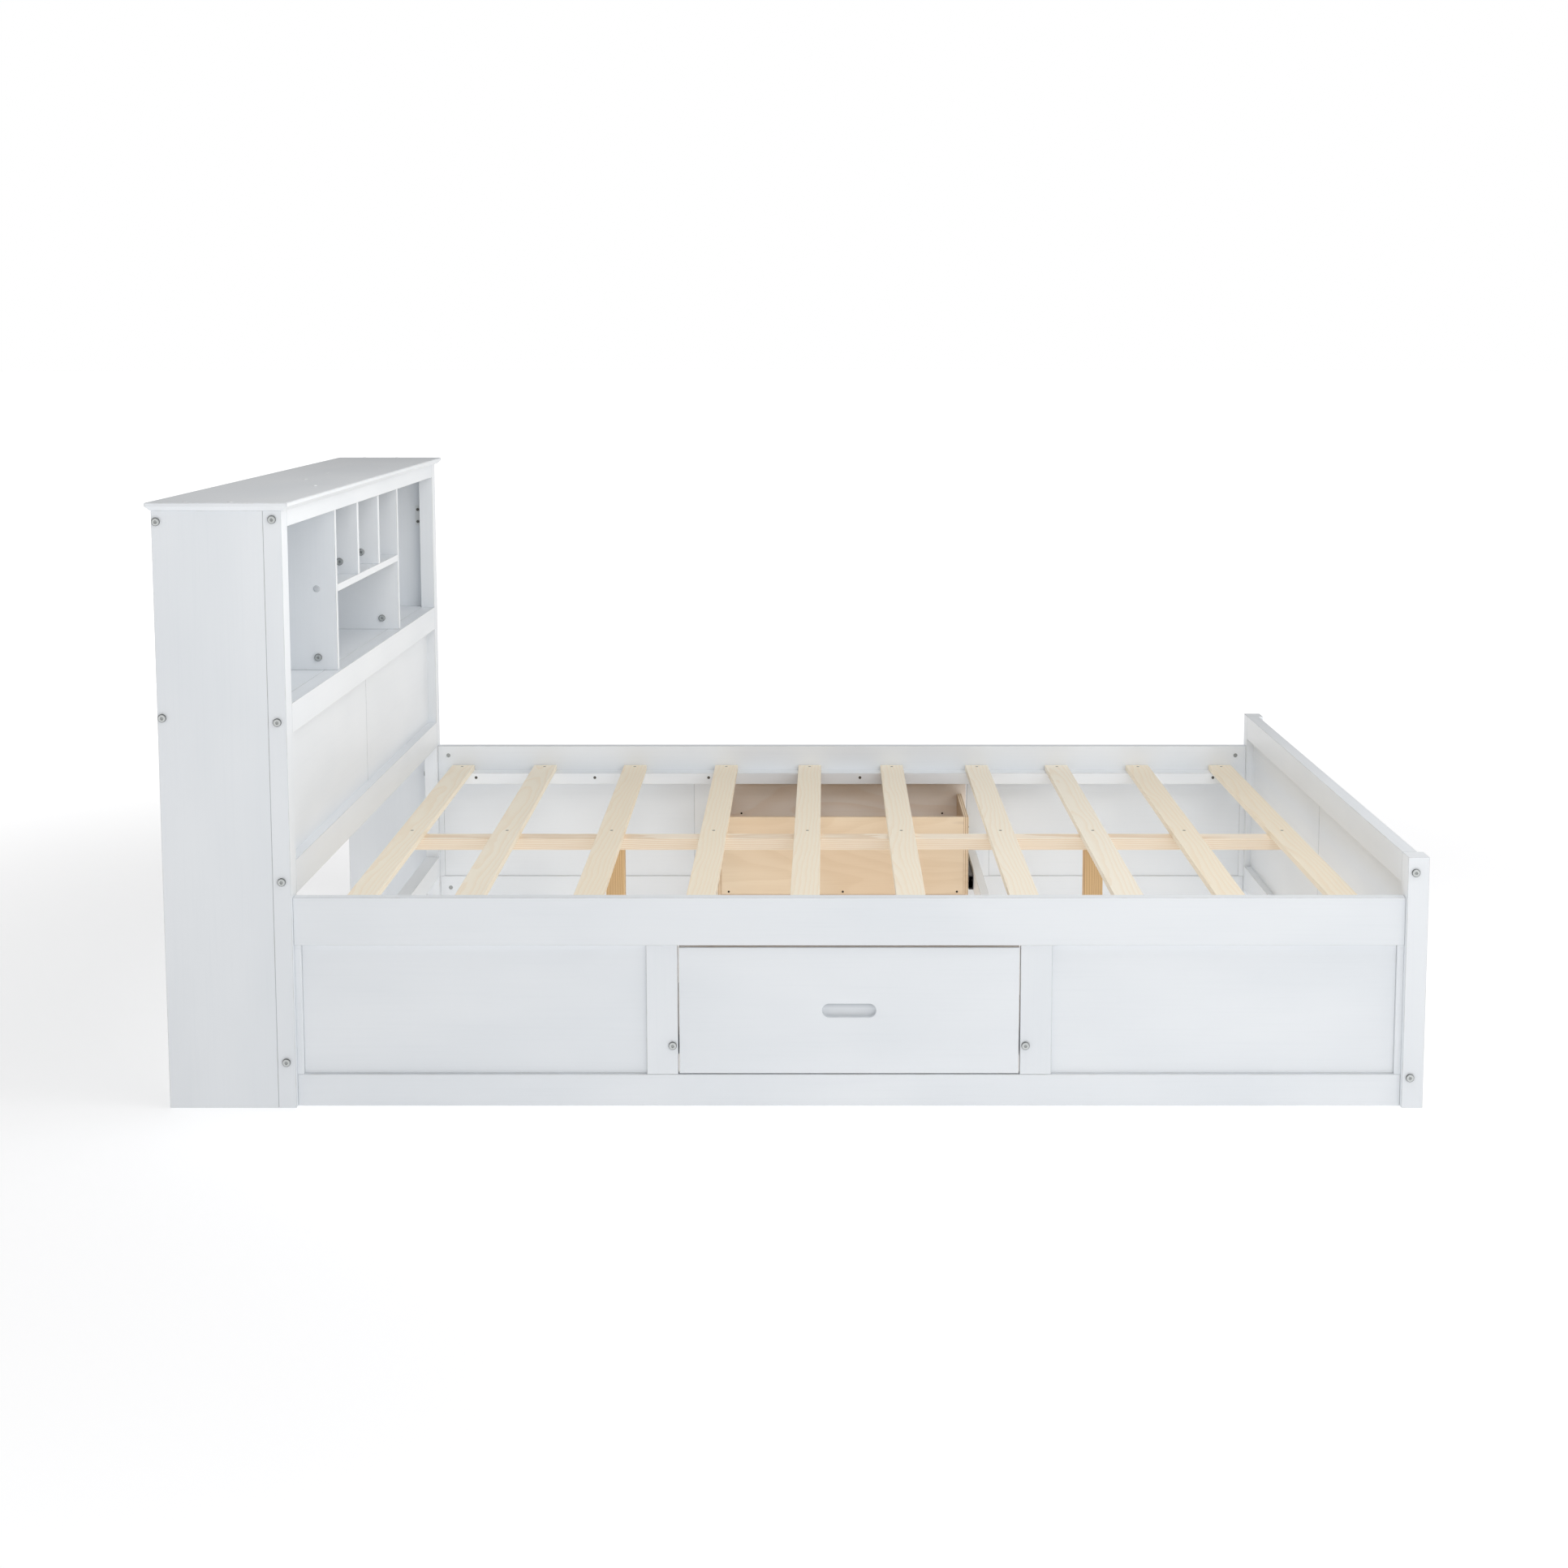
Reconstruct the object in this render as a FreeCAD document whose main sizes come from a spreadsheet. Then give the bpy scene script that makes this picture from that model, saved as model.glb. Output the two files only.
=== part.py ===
"""Bookcase platform bed with a storage drawer in each long side.

The headboard is at -X and the footboard at +X. The left side is the one at -Y. The origin is on
the floor, under the middle of the whole bed. Sizes are in millimetres.
"""
import FreeCAD, Part
import math
import os
import re

import Sketcher

V = FreeCAD.Vector

SIZES = (
    # mattress and the room around it
    ("mattress_length", 2032), ("mattress_width", 1524), ("end_play", 5), ("side_play", 8),
    # long sides
    ("rail_thickness", 22), ("rail_height", 90), ("base_height", 60), ("drawer_zone", 245),
    ("frame_setback", 3), ("frame_thickness", 19), ("stile_width", 58), ("end_strip_width", 12),
    ("drawer_opening", 632), ("side_panel_setback", 7), ("side_panel_thickness", 9),
    # mattress support
    ("ledger_depth", 45), ("ledger_height", 28), ("ledger_lift", 1), ("ledger_end_gap", 37),
    ("slat_width", 57), ("slat_thickness", 13), ("slat_end_play", 3), ("first_slat_inset", 84),
    ("last_slat_inset", 64), ("beam_width", 50), ("beam_thickness", 25), ("leg_size", 40),
    ("head_leg_inset", 519), ("foot_leg_inset", 478),
    # headboard
    ("head_height", 1107), ("head_post_depth", 33), ("post_width", 45), ("post_proud", 10),
    ("head_side_depth", 201), ("head_side_thickness", 15),
    ("cap_thickness", 15), ("cap_back_lip", 8), ("cap_front_lip", 14), ("cap_side_lip", 12),
    ("cap_bevel", 8), ("cap_round", 2.5),
    ("top_rail_height", 32), ("shelf_rail_height", 56), ("lower_rail_height", 63),
    ("stretcher_bottom", 62), ("stretcher_height", 50),
    ("head_panel_setback", 20), ("panel_thickness", 9), ("panel_joint", 2),
    # bookcase
    ("bookcase_height", 357), ("cubby_height", 184), ("shelf_thickness", 15), ("back_rail_thickness", 18),
    ("back_rail_height", 40), ("back_thickness", 5), ("back_inset", 8),
    ("divider_thickness", 15), ("divider_setback", 6),
    ("tall_divider_place", 328.5), ("short_divider_place", 109.5),
    # footboard
    ("foot_height", 473), ("foot_post_depth", 39), ("foot_rail_thickness", 28),
    ("foot_top_rail_height", 58), ("foot_bottom_rail_bottom", 28),
    ("foot_bottom_rail_height", 60), ("foot_panel_setback", 16),
    # drawers and their slides
    ("front_gap", 2), ("front_top_gap", 4.5), ("front_thickness", 18),
    ("handle_length", 100), ("handle_height", 26), ("handle_depth", 11), ("handle_drop", 1.5),
    ("box_wall", 12), ("box_lift", 10), ("box_top_gap", 33), ("box_depth", 283),
    ("bottom_thickness", 5), ("bottom_inset", 8), ("bottom_tongue", 5),
    ("slide_space", 13), ("slide_height", 35), ("slide_wall", 1.5), ("slide_play", 0.4),
    ("slide_length", 270), ("slide_inset", 26), ("runner_inset", 23), ("slide_drop", 5),
    ("cross_rail_thickness", 20), ("cross_rail_height", 50), ("cross_rail_lift", 30),
    # joints and fasteners
    ("groove_depth", 6), ("groove_play", 0.5), ("edge_ease", 1.2),
    ("bolt_shank", 6), ("bolt_clearance", 1), ("bolt_head", 15), ("bolt_head_height", 3),
    ("bolt_socket", 4.6), ("bolt_socket_depth", 2), ("bolt_end", 6),
    ("nut_diameter", 10), ("nut_play", 0.4), ("nut_length", 14), ("nut_inset", 26),
    ("rail_bolt_low_inset", 18), ("rail_bolt_high_inset", 24), ("back_bolt_inset", 9),
    ("bolt_shy", 1),
    ("screw_head", 7), ("screw_head_height", 2), ("screw_shank", 4), ("screw_play", 0.4),
    ("slat_screw_length", 30), ("slat_screw_inset", 22), ("ledger_screw_length", 60),
    ("brace_screw_length", 13), ("cubby_screw_length", 45), ("cubby_screw_inset", 42),
    ("cap_screw_length", 40), ("cap_screw_step", 70), ("cap_screw_inset", 60),
    ("brace_leg", 40), ("brace_width", 12), ("brace_thickness", 2), ("brace_inset", 39),
    ("brace_screw_place", 26), ("angle_leg", 15), ("angle_length", 50), ("angle_hole_spacing", 30),
    ("angle_hole_place", 9), ("angle_drop", 129),
)

# Places worked out from the sizes above, each in the bed's own frame.
PLACES = {
    "rail_length": "mattress_length + 2 * end_play",
    "bed_length": "cap_back_lip + head_side_depth + head_post_depth + rail_length"
                  " + foot_post_depth + bolt_head_height",
    "cap_back": "-bed_length / 2",
    "head_back": "cap_back + cap_back_lip",
    "post_back": "head_back + head_side_depth",
    "head_front": "post_back + head_post_depth",
    "foot_inner": "head_front + rail_length",
    "foot_outer": "foot_inner + foot_post_depth",
    "half_inside": "mattress_width / 2 + side_play",
    "half_width": "half_inside + rail_thickness",
    "post_outer": "half_width + post_proud",
    "post_inner": "post_outer - post_width",
    "side_inner": "post_outer - head_side_thickness",
    "cap_outer": "post_outer + cap_side_lip",
    "cap_top": "head_height + cap_thickness",
    "frame_outer": "half_width - frame_setback",
    "frame_inner": "frame_outer - frame_thickness",
    "panel_outer": "frame_outer - side_panel_setback",
    "panel_inner": "panel_outer - side_panel_thickness",
    "drawer_middle": "(head_front + foot_inner) / 2",
    "half_opening": "drawer_opening / 2",
    "rail_bottom": "base_height + drawer_zone",
    "rail_top": "rail_bottom + rail_height",
    "ledger_top": "rail_bottom + ledger_lift + ledger_height",
    "ledger_screw_height": "ledger_top - ledger_height * 0.4",
    "slat_top": "ledger_top + slat_thickness",
    "half_slat": "half_inside - slat_end_play",
    "beam_bottom": "ledger_top - beam_thickness",
    "top_rail_bottom": "head_height - top_rail_height",
    "shelf_top": "head_height - bookcase_height",
    "shelf_rail_bottom": "shelf_top - shelf_rail_height",
    "lower_rail_top": "rail_top + lower_rail_height",
    "stretcher_top": "stretcher_bottom + stretcher_height",
    "head_panel_front": "head_front - head_panel_setback",
    "head_panel_back": "head_panel_front - panel_thickness",
    "back_rail_front": "head_back + back_rail_thickness",
    "back_panel_front": "head_back + back_inset + back_thickness",
    "back_shelf_rail_bottom": "shelf_top - back_rail_height",
    "back_top_rail_bottom": "head_height - back_rail_height",
    "divider_front": "head_front - divider_setback",
    "cubby_shelf_top": "head_height - cubby_height",
    "cubby_shelf_bottom": "cubby_shelf_top - shelf_thickness",
    "tall_divider_inner": "tall_divider_place - divider_thickness / 2",
    "foot_rail_outer": "foot_inner + foot_rail_thickness",
    "foot_panel_inner": "foot_inner + foot_panel_setback",
    "foot_panel_outer": "foot_panel_inner + panel_thickness",
    "foot_top_rail_bottom": "foot_height - foot_top_rail_height",
    "foot_bottom_rail_top": "foot_bottom_rail_bottom + foot_bottom_rail_height",
    "front_inner": "frame_outer - front_thickness",
    "box_inner_end": "front_inner - box_depth",
    "box_half": "half_opening - slide_space",
    "box_bottom": "base_height + box_lift",
    "box_top": "rail_bottom - box_top_gap",
    "bottom_low": "box_bottom + bottom_inset",
    "cross_rail_outer": "half_opening + cross_rail_thickness",
    "cross_rail_bottom": "base_height + cross_rail_lift",
    "cross_rail_middle": "cross_rail_bottom + cross_rail_height / 2",
    "slide_low": "cross_rail_middle - slide_drop - slide_height / 2",
    "nut_hole": "nut_diameter + nut_play",
    "bolt_hole": "bolt_shank + bolt_clearance",
    "bolt_line": "(frame_inner + frame_outer) / 2 - bolt_shy",
    "screw_hole": "screw_shank + screw_play",
    "screw_seat": "screw_head + screw_play",
    "brace_x": "divider_front - brace_inset",
    "angle_middle": "head_height - angle_drop",
}

# Where the ledgers are screwed to the rails, as shares of the rail's length from its middle.
LEDGER_SCREWS = (-0.45, -0.304, -0.164, 0.022, 0.157, 0.358, 0.456)

# How far each slat's left end lies from its even place, and how far its right end leans from there.
SLAT_LAY = ((0, -20), (-2, -21), (17, -23), (23, -9), (12, 2),
            (6, 4), (15, -1), (7, -2), (-8, 7), (0, -2))

WORD = re.compile(r"[a-z][a-z_]*")
ORIGIN_PLANE = {"x": "YZ_Plane", "y": "XZ_Plane", "z": "XY_Plane"}
ACROSS = {"x": ("y", "z"), "y": ("x", "z"), "z": ("x", "y")}
SIDES = (("left", -1), ("right", 1))
ENDS = (("head", -1), ("foot", 1))

doc = FreeCAD.newDocument("bookcase_bed")
sheet = doc.addObject("Spreadsheet::Sheet", "Sizes")
for row, (name, value) in enumerate(SIZES, start=1):
    sheet.set(f"A{row}", name)
    sheet.set(f"B{row}", str(value))
    sheet.setAlias(f"B{row}", name)
doc.recompute()

corners = {}
sub_parts = []


def expand(text):
    """A size expression with its places written out in cells of the sheet."""
    def swap(match):
        word = match.group()
        return f"({expand(PLACES[word])})" if word in PLACES else f"Sizes.{word}"
    return WORD.sub(swap, str(text))


def size(text):
    """The value of a size expression in millimetres."""
    return float(sheet.evalExpression(expand(text)))


def bind(obj, prop, text):
    obj.setExpression(prop, expand(text))


def minus(text):
    return f"-({text})"


def outward(sign, text):
    """A distance from the middle of the bed, on the left (-1) or on the right (1)."""
    return f"({text})" if sign > 0 else minus(text)


def mirrored(sign, inner, outer):
    """The low and high faces of a piece that lies between two distances from the middle."""
    return (inner, outer) if sign > 0 else (minus(outer), minus(inner))


def keep(obj):
    """Note a finished sub-part, which is written to a file of its own."""
    sub_parts.append(obj)
    return obj


# --- sketches -------------------------------------------------------------------------------

def sketch_across(body, axis, place):
    """A sketch square to an axis, at a distance along it from the body's low corner."""
    sketch = body.newObject("Sketcher::SketchObject", f"{body.Name}_sketch")
    plane = next(f for f in body.Origin.OriginFeatures if f.Role == ORIGIN_PLANE[axis])
    sketch.AttachmentSupport = [(plane, "")]
    sketch.MapMode = "FlatFace"
    bind(sketch, "AttachmentOffset.Base.z", minus(place) if axis == "y" else place)
    return sketch


def dimension(sketch, kind, targets, text):
    """A dimension of the sketch, bound to a size expression."""
    index = sketch.addConstraint(Sketcher.Constraint(kind, *targets, size(text)))
    bind(sketch, f"Constraints[{index}]", text)


def rectangle(sketch, low_u, low_v, high_u, high_v):
    """A rectangle between two corners, given from the sketch's origin."""
    u0, v0, u1, v1 = size(low_u), size(low_v), size(high_u), size(high_v)
    points = [V(u0, v0, 0), V(u1, v0, 0), V(u1, v1, 0), V(u0, v1, 0)]
    lines = sketch.addGeometry(
        [Part.LineSegment(points[i], points[(i + 1) % 4]) for i in range(4)], False)
    for i, line in enumerate(lines):
        sketch.addConstraint(Sketcher.Constraint("Coincident", line, 2, lines[(i + 1) % 4], 1))
        level = "Horizontal" if i % 2 == 0 else "Vertical"
        sketch.addConstraint(Sketcher.Constraint(level, line))
    for line, u, v in ((lines[0], low_u, low_v), (lines[2], high_u, high_v)):
        dimension(sketch, "DistanceX", (-1, 1, line, 1), u)
        dimension(sketch, "DistanceY", (-1, 1, line, 1), v)


def circle(sketch, u, v, diameter):
    """A circle about a point given from the sketch's origin."""
    centre = V(size(u), size(v), 0)
    ring = sketch.addGeometry(Part.Circle(centre, V(0, 0, 1), size(diameter) / 2), False)
    dimension(sketch, "Diameter", (ring,), diameter)
    dimension(sketch, "DistanceX", (-1, 1, ring, 3), u)
    dimension(sketch, "DistanceY", (-1, 1, ring, 3), v)


def stadium(sketch, u, v, length, height):
    """A slot with round ends, lying along u about a middle point."""
    middle_u, middle_v, radius = size(u), size(v), size(height) / 2
    reach = size(length) / 2 - radius
    left, right = V(middle_u - reach, middle_v, 0), V(middle_u + reach, middle_v, 0)
    rise = V(0, radius, 0)
    arcs = [Part.ArcOfCircle(Part.Circle(left, V(0, 0, 1), radius), math.pi / 2, 1.5 * math.pi),
            Part.ArcOfCircle(Part.Circle(right, V(0, 0, 1), radius), -math.pi / 2, math.pi / 2)]
    shape = [arcs[0], Part.LineSegment(left - rise, right - rise),
             arcs[1], Part.LineSegment(right + rise, left + rise)]
    left_arc, low_line, right_arc, high_line = sketch.addGeometry(shape, False)
    chain = (left_arc, low_line, right_arc, high_line)
    for i, piece in enumerate(chain):
        sketch.addConstraint(Sketcher.Constraint("Tangent", piece, 2, chain[(i + 1) % 4], 1))
    sketch.addConstraint(Sketcher.Constraint("Horizontal", low_line))
    sketch.addConstraint(Sketcher.Constraint("Equal", left_arc, right_arc))
    dimension(sketch, "Radius", (left_arc,), f"({height}) / 2")
    dimension(sketch, "DistanceX", (-1, 1, left_arc, 3), f"({u}) - (({length}) - ({height})) / 2")
    dimension(sketch, "DistanceY", (-1, 1, left_arc, 3), v)
    dimension(sketch, "DistanceX", (left_arc, 3, right_arc, 3), f"({length}) - ({height})")


OUTLINES = {"rectangle": rectangle, "circle": circle, "stadium": stadium}


# --- boards and the cuts in them --------------------------------------------------------------

def edge_names(shape, wanted):
    return [f"Edge{i}" for i, edge in enumerate(shape.Edges, start=1) if wanted(edge)]


def soften(body, kind, radius, wanted):
    """Round (Fillet) or bevel (Chamfer) the wanted edges of a body's last feature."""
    doc.recompute()
    base = body.Tip
    feature = body.newObject(f"PartDesign::{kind}", f"{body.Name}_{kind.lower()}")
    feature.Base = (base, edge_names(base.Shape, wanted))
    bind(feature, "Radius" if kind == "Fillet" else "Size", radius)


def board(label, x, y, z, ease="edge_ease"):
    """A board between pairs of faces (low, high) along X, Y and Z, with its edges eased."""
    body = doc.addObject("PartDesign::Body", label)
    body.Label = label
    corners[label] = dict(zip("xyz", (x, y, z)))
    for axis, (low, _) in zip("xyz", (x, y, z)):
        bind(body, f"Placement.Base.{axis}", low)
    long, wide, tall = (f"({high}) - ({low})" for low, high in (x, y, z))
    outline = sketch_across(body, "z", "0")
    rectangle(outline, "0", "0", long, wide)
    pad = body.newObject("PartDesign::Pad", f"{label}_pad")
    pad.Profile = outline
    bind(pad, "Length", tall)
    if ease:
        soften(body, "Fillet", ease, lambda edge: True)
    return body


def cut(body, side, depth, *outlines):
    """Pocket outlines into one side of a board. Each outline is a kind and its bed-frame sizes."""
    doc.recompute()
    before = body.Shape.Volume
    axis = side[1]
    corner = corners[body.Name]
    low, high = corner[axis]
    across = ACROSS[axis]
    sketch = sketch_across(body, axis, f"({high}) - ({low})" if side[0] == "+" else "0")
    for kind, *numbers in outlines:
        placed = 4 if kind == "rectangle" else 2
        local = [f"({text}) - ({corner[across[i % 2]][0]})" for i, text in
                 enumerate(numbers[:placed])]
        OUTLINES[kind](sketch, *local, *numbers[placed:])
    pocket = body.newObject("PartDesign::Pocket", f"{body.Name}_pocket")
    pocket.Profile = sketch
    bind(pocket, "Length", depth)
    pocket.Reversed = side in ("-x", "+y", "-z")
    doc.recompute()
    if body.Shape.Volume > before - 1:
        raise RuntimeError(f"a cut in {body.Label} took nothing away")


def group(label, members):
    """Separate solids that share one node."""
    compound = doc.addObject("Part::Compound", label)
    compound.Label = label
    compound.Links = members
    return keep(compound)


def solids(label, shapes):
    """A node of small turned or bent metal solids that are already in place."""
    feature = doc.addObject("Part::Feature", label)
    feature.Label = label
    feature.Shape = Part.makeCompound(shapes)
    return keep(feature)


# --- bolts, nuts, screws and braces -----------------------------------------------------------

DIRECTION = {"+x": V(1, 0, 0), "-x": V(-1, 0, 0), "+y": V(0, 1, 0), "-y": V(0, -1, 0),
             "+z": V(0, 0, 1)}
FACING = {-1: ("-y", "+y"), 1: ("+y", "-y")}
bolts = []
nuts = []
screws = []


def placed(shape, point, side):
    """A fastener drawn along +Z from its seat, turned to leave a face on the given side."""
    copy = shape.copy()
    copy.Placement = FreeCAD.Placement(V(*(size(text) for text in point)),
                                       FreeCAD.Rotation(V(0, 0, 1), DIRECTION[side]))
    return copy


def bolt_shape(length):
    """A socket-head bolt: a low round head with a hexagon socket, and its shank."""
    radius, height = size("bolt_head / 2"), size("bolt_head_height")
    head = Part.makeCylinder(radius, height)
    rim = [edge for edge in head.Edges if edge.BoundBox.ZMin > height / 2]
    head = head.makeFillet(height * 0.6, rim)
    across = size("bolt_socket") / math.sqrt(3)
    depth = size("bolt_socket_depth")
    points = [V(across * math.cos(math.radians(60 * i)), across * math.sin(math.radians(60 * i)),
                height - depth) for i in range(7)]
    socket = Part.Face(Part.makePolygon(points)).extrude(V(0, 0, 2 * depth))
    shank = Part.makeCylinder(size("bolt_shank / 2"), length, V(0, 0, -length))
    return head.cut(socket).fuse(shank)


def nut_shape():
    """A cross-dowel nut with its threaded hole, lying along Z about its middle."""
    length, radius = size("nut_length"), size("nut_diameter / 2")
    nut = Part.makeCylinder(radius, length, V(0, 0, -length / 2))
    hole = size("bolt_shank + nut_play") / 2
    return nut.cut(Part.makeCylinder(hole, 4 * radius, V(-2 * radius, 0, 0), V(1, 0, 0)))


def screw_shape(length):
    """A wood screw: a flat head with a cross recess, below its seat plane, and its shank."""
    head, height = size("screw_head / 2"), size("screw_head_height")
    body = Part.makeCylinder(head, height, V(0, 0, -height)).fuse(
        Part.makeCylinder(size("screw_shank / 2"), length, V(0, 0, -length)))
    bar, width, depth = head * 1.2, 0.9, 1.2
    return body.cut([Part.makeBox(bar, width, depth, V(-bar / 2, -width / 2, 0.2 - depth)),
                     Part.makeBox(width, bar, depth, V(-width / 2, -bar / 2, 0.2 - depth))])


NUT = nut_shape()


def bolt(side, seat, through):
    """A frame bolt whose head seats on a face, through a piece and into a barrel nut behind it."""
    length = size(f"({through}) + nut_inset + bolt_end")
    bolts.append(placed(bolt_shape(length), seat, side))


def barrel_nut(place, toward):
    """A barrel nut along one axis, with its hole turned to meet a bolt along another."""
    turn = {("x", "y"): FreeCAD.Rotation(V(0, 1, 0), 90).multiply(FreeCAD.Rotation(V(0, 0, 1), 90)),
            ("y", "x"): FreeCAD.Rotation(V(1, 0, 0), 90)}[toward]
    nut = NUT.copy()
    nut.Placement = FreeCAD.Placement(V(*(size(text) for text in place)), turn)
    nuts.append(nut)


def screw(side, point, length):
    screws.append(placed(screw_shape(size(length)), point, side))


def screw_holes(body, side, depth, points, seat=True):
    """Pilot holes from one side of a board, each with a seat for the screw's head if it is sunk."""
    if seat:
        cut(body, side, "screw_head_height", *(("circle", u, v, "screw_seat") for u, v in points))
    cut(body, side, depth, *(("circle", u, v, "screw_hole") for u, v in points))


def end_bolts(body, axis, heights, nut_side, nut_middle, across):
    """Holes and nuts for bolts into both ends of a rail that lies along an axis.

    heights are where the bolts come along Z, across is their place along the third axis, and the
    nuts are let in from nut_side with their middles at nut_middle along that axis.
    """
    corner = corners[body.Name]
    low, high = corner[axis]
    ends = (f"({low}) + nut_inset", f"({high}) - nut_inset")
    depth = "nut_inset + bolt_end + 2"
    for side in ("-", "+"):
        cut(body, side + axis, depth, *(("circle", across, z, "bolt_hole") for z in heights))
    across_low, across_high = corner[nut_side[1]]
    reach = (f"({across_high}) - ({nut_middle}) + nut_length / 2" if nut_side[0] == "+" else
             f"({nut_middle}) - ({across_low}) + nut_length / 2")
    rings = [("circle", end, height, "nut_hole") for end in ends for height in heights]
    cut(body, nut_side, reach, *rings)
    for end in ends:
        for height in heights:
            place = {axis: end, nut_side[1]: nut_middle, "z": height}
            barrel_nut((place["x"], place["y"], place["z"]), (nut_side[1], axis))


# --- headboard --------------------------------------------------------------------------------

# Rails between posts or side panels: name, bottom face, height.
HEAD_RAILS = (
    ("headboard_top_rail", "top_rail_bottom", "top_rail_height"),
    ("headboard_shelf_rail", "shelf_rail_bottom", "shelf_rail_height"),
    ("headboard_lower_rail", "rail_top", "lower_rail_height"),
    ("headboard_stretcher", "stretcher_bottom", "stretcher_height"),
)
BACK_RAILS = (
    ("bookcase_back_top_rail", "back_top_rail_bottom", "back_rail_height"),
    ("bookcase_back_shelf_rail", "back_shelf_rail_bottom", "back_rail_height"),
)
CAP_END_SCREWS = ("head_back + cap_screw_inset", "post_back - cap_screw_inset")
# Where the cap is screwed down to what is under it, from the middle of the bed.
CAP_SCREWS = {
    "left": [(x, "-(side_inner + head_side_thickness / 2)") for x in CAP_END_SCREWS],
    "right": [(x, "side_inner + head_side_thickness / 2") for x in CAP_END_SCREWS],
    "tall_left": [("brace_x", "-tall_divider_place")],
    "tall_right": [("brace_x", "tall_divider_place")],
    "short_left": [("brace_x - cap_screw_step", "-short_divider_place")],
    "short_right": [("brace_x - cap_screw_step", "short_divider_place")],
}
SIDE_BOLTS = ("rail_bottom + rail_bolt_low_inset", "rail_top - rail_bolt_high_inset")
BASE_BOLTS = ("base_height / 2",)


def middle(low, height):
    return f"{low} + {height} / 2"


def cap_pilots(body, place):
    """Pilot holes in the top of a board for the cap's screws."""
    screw_holes(body, "+z", "cap_screw_length - cap_thickness + 1", CAP_SCREWS[place], seat=False)


def headboard_ends():
    """The cap, and at each end a post with the side panel of the bookcase behind it."""
    cap = board("headboard_cap", ("cap_back", "head_front + cap_front_lip"),
                (minus("cap_outer"), "cap_outer"), ("head_height", "cap_top"), ease=None)
    halfway = size("cap_thickness") / 2
    soften(cap, "Chamfer", "cap_bevel", lambda edge: edge.BoundBox.ZMax < halfway)
    soften(cap, "Fillet", "cap_round", lambda edge: edge.BoundBox.ZMin > 2 * halfway - 1)
    keep(cap)
    fixings = [spot for spots in CAP_SCREWS.values() for spot in spots]
    screw_holes(cap, "+z", "cap_thickness", fixings)
    for x, y in fixings:
        screw("+z", (x, y, "cap_top"), "cap_screw_length")
    rail_bolts = [middle(low, height) for _, low, height in HEAD_RAILS]
    post_bolt_x = "post_back + head_post_depth / 2"
    back_bolt_x = "head_back + back_bolt_inset"
    back_bolts = [middle(low, height) for _, low, height in BACK_RAILS]
    angle_holes = [f"angle_middle {way} angle_hole_spacing / 2" for way in "-+"]
    for side, sign in SIDES:
        out, inward = FACING[sign]
        face = outward(sign, "post_outer")
        rail_y = outward(sign, "bolt_line")
        post = keep(board(f"headboard_post_{side}", ("post_back", "head_front"),
                          mirrored(sign, "post_inner", "post_outer"), ("0", "head_height")))
        cut(post, out, "post_width", *(("circle", post_bolt_x, z, "bolt_hole") for z in rail_bolts))
        cut(post, "-x", "head_post_depth",
            *(("circle", rail_y, z, "bolt_hole") for z in SIDE_BOLTS + BASE_BOLTS))
        cut(post, inward, "groove_depth",
            ("rectangle", "head_panel_back", "lower_rail_top - groove_depth", "head_panel_front",
             "shelf_rail_bottom + groove_depth"))
        screw_holes(post, "-x", "brace_screw_length",
                    [(outward(sign, "side_inner - angle_hole_place"), z) for z in angle_holes],
                    seat=False)
        panel = keep(board(f"headboard_side_{side}", ("head_back", "post_back"),
                           mirrored(sign, "side_inner", "post_outer"), ("0", "head_height")))
        cut(panel, out, "head_side_thickness",
            *(("circle", back_bolt_x, z, "bolt_hole") for z in back_bolts))
        screw_holes(panel, inward, "brace_screw_length",
                    [("post_back - angle_hole_place", z) for z in angle_holes], seat=False)
        cap_pilots(panel, side)
        for z in rail_bolts:
            bolt(out, (post_bolt_x, face, z), "post_width")
        for z in back_bolts:
            bolt(out, (back_bolt_x, face, z), "head_side_thickness")
        for z in SIDE_BOLTS + BASE_BOLTS:
            bolt("-x", ("post_back", rail_y, z), "head_post_depth")


def headboard_rails():
    """The four rails between the posts and the two lower panels let into them."""
    for name, low, height in HEAD_RAILS:
        rail = keep(board(name, ("post_back", "head_front"), (minus("post_inner"), "post_inner"),
                          (low, f"{low} + {height}")))
        end_bolts(rail, "y", (middle(low, height),), "-x", "post_back + head_post_depth / 2",
                  "post_back + head_post_depth / 2")
        if name == "headboard_shelf_rail":
            cut(rail, "-z", "groove_depth", ("rectangle", "head_panel_back", minus("post_inner + 1"),
                                             "head_panel_front", "post_inner + 1"))
        if name == "headboard_lower_rail":
            cut(rail, "+z", "groove_depth", ("rectangle", "head_panel_back", minus("post_inner + 1"),
                                             "head_panel_front", "post_inner + 1"))
    tongue = "groove_depth - groove_play"
    for side, sign in SIDES:
        keep(board(f"headboard_panel_{side}", ("head_panel_back", "head_panel_front"),
                   mirrored(sign, "panel_joint / 2", f"post_inner + {tongue}"),
                   (f"lower_rail_top - ({tongue})", f"shelf_rail_bottom + {tongue}"), ease="0.8"))


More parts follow.
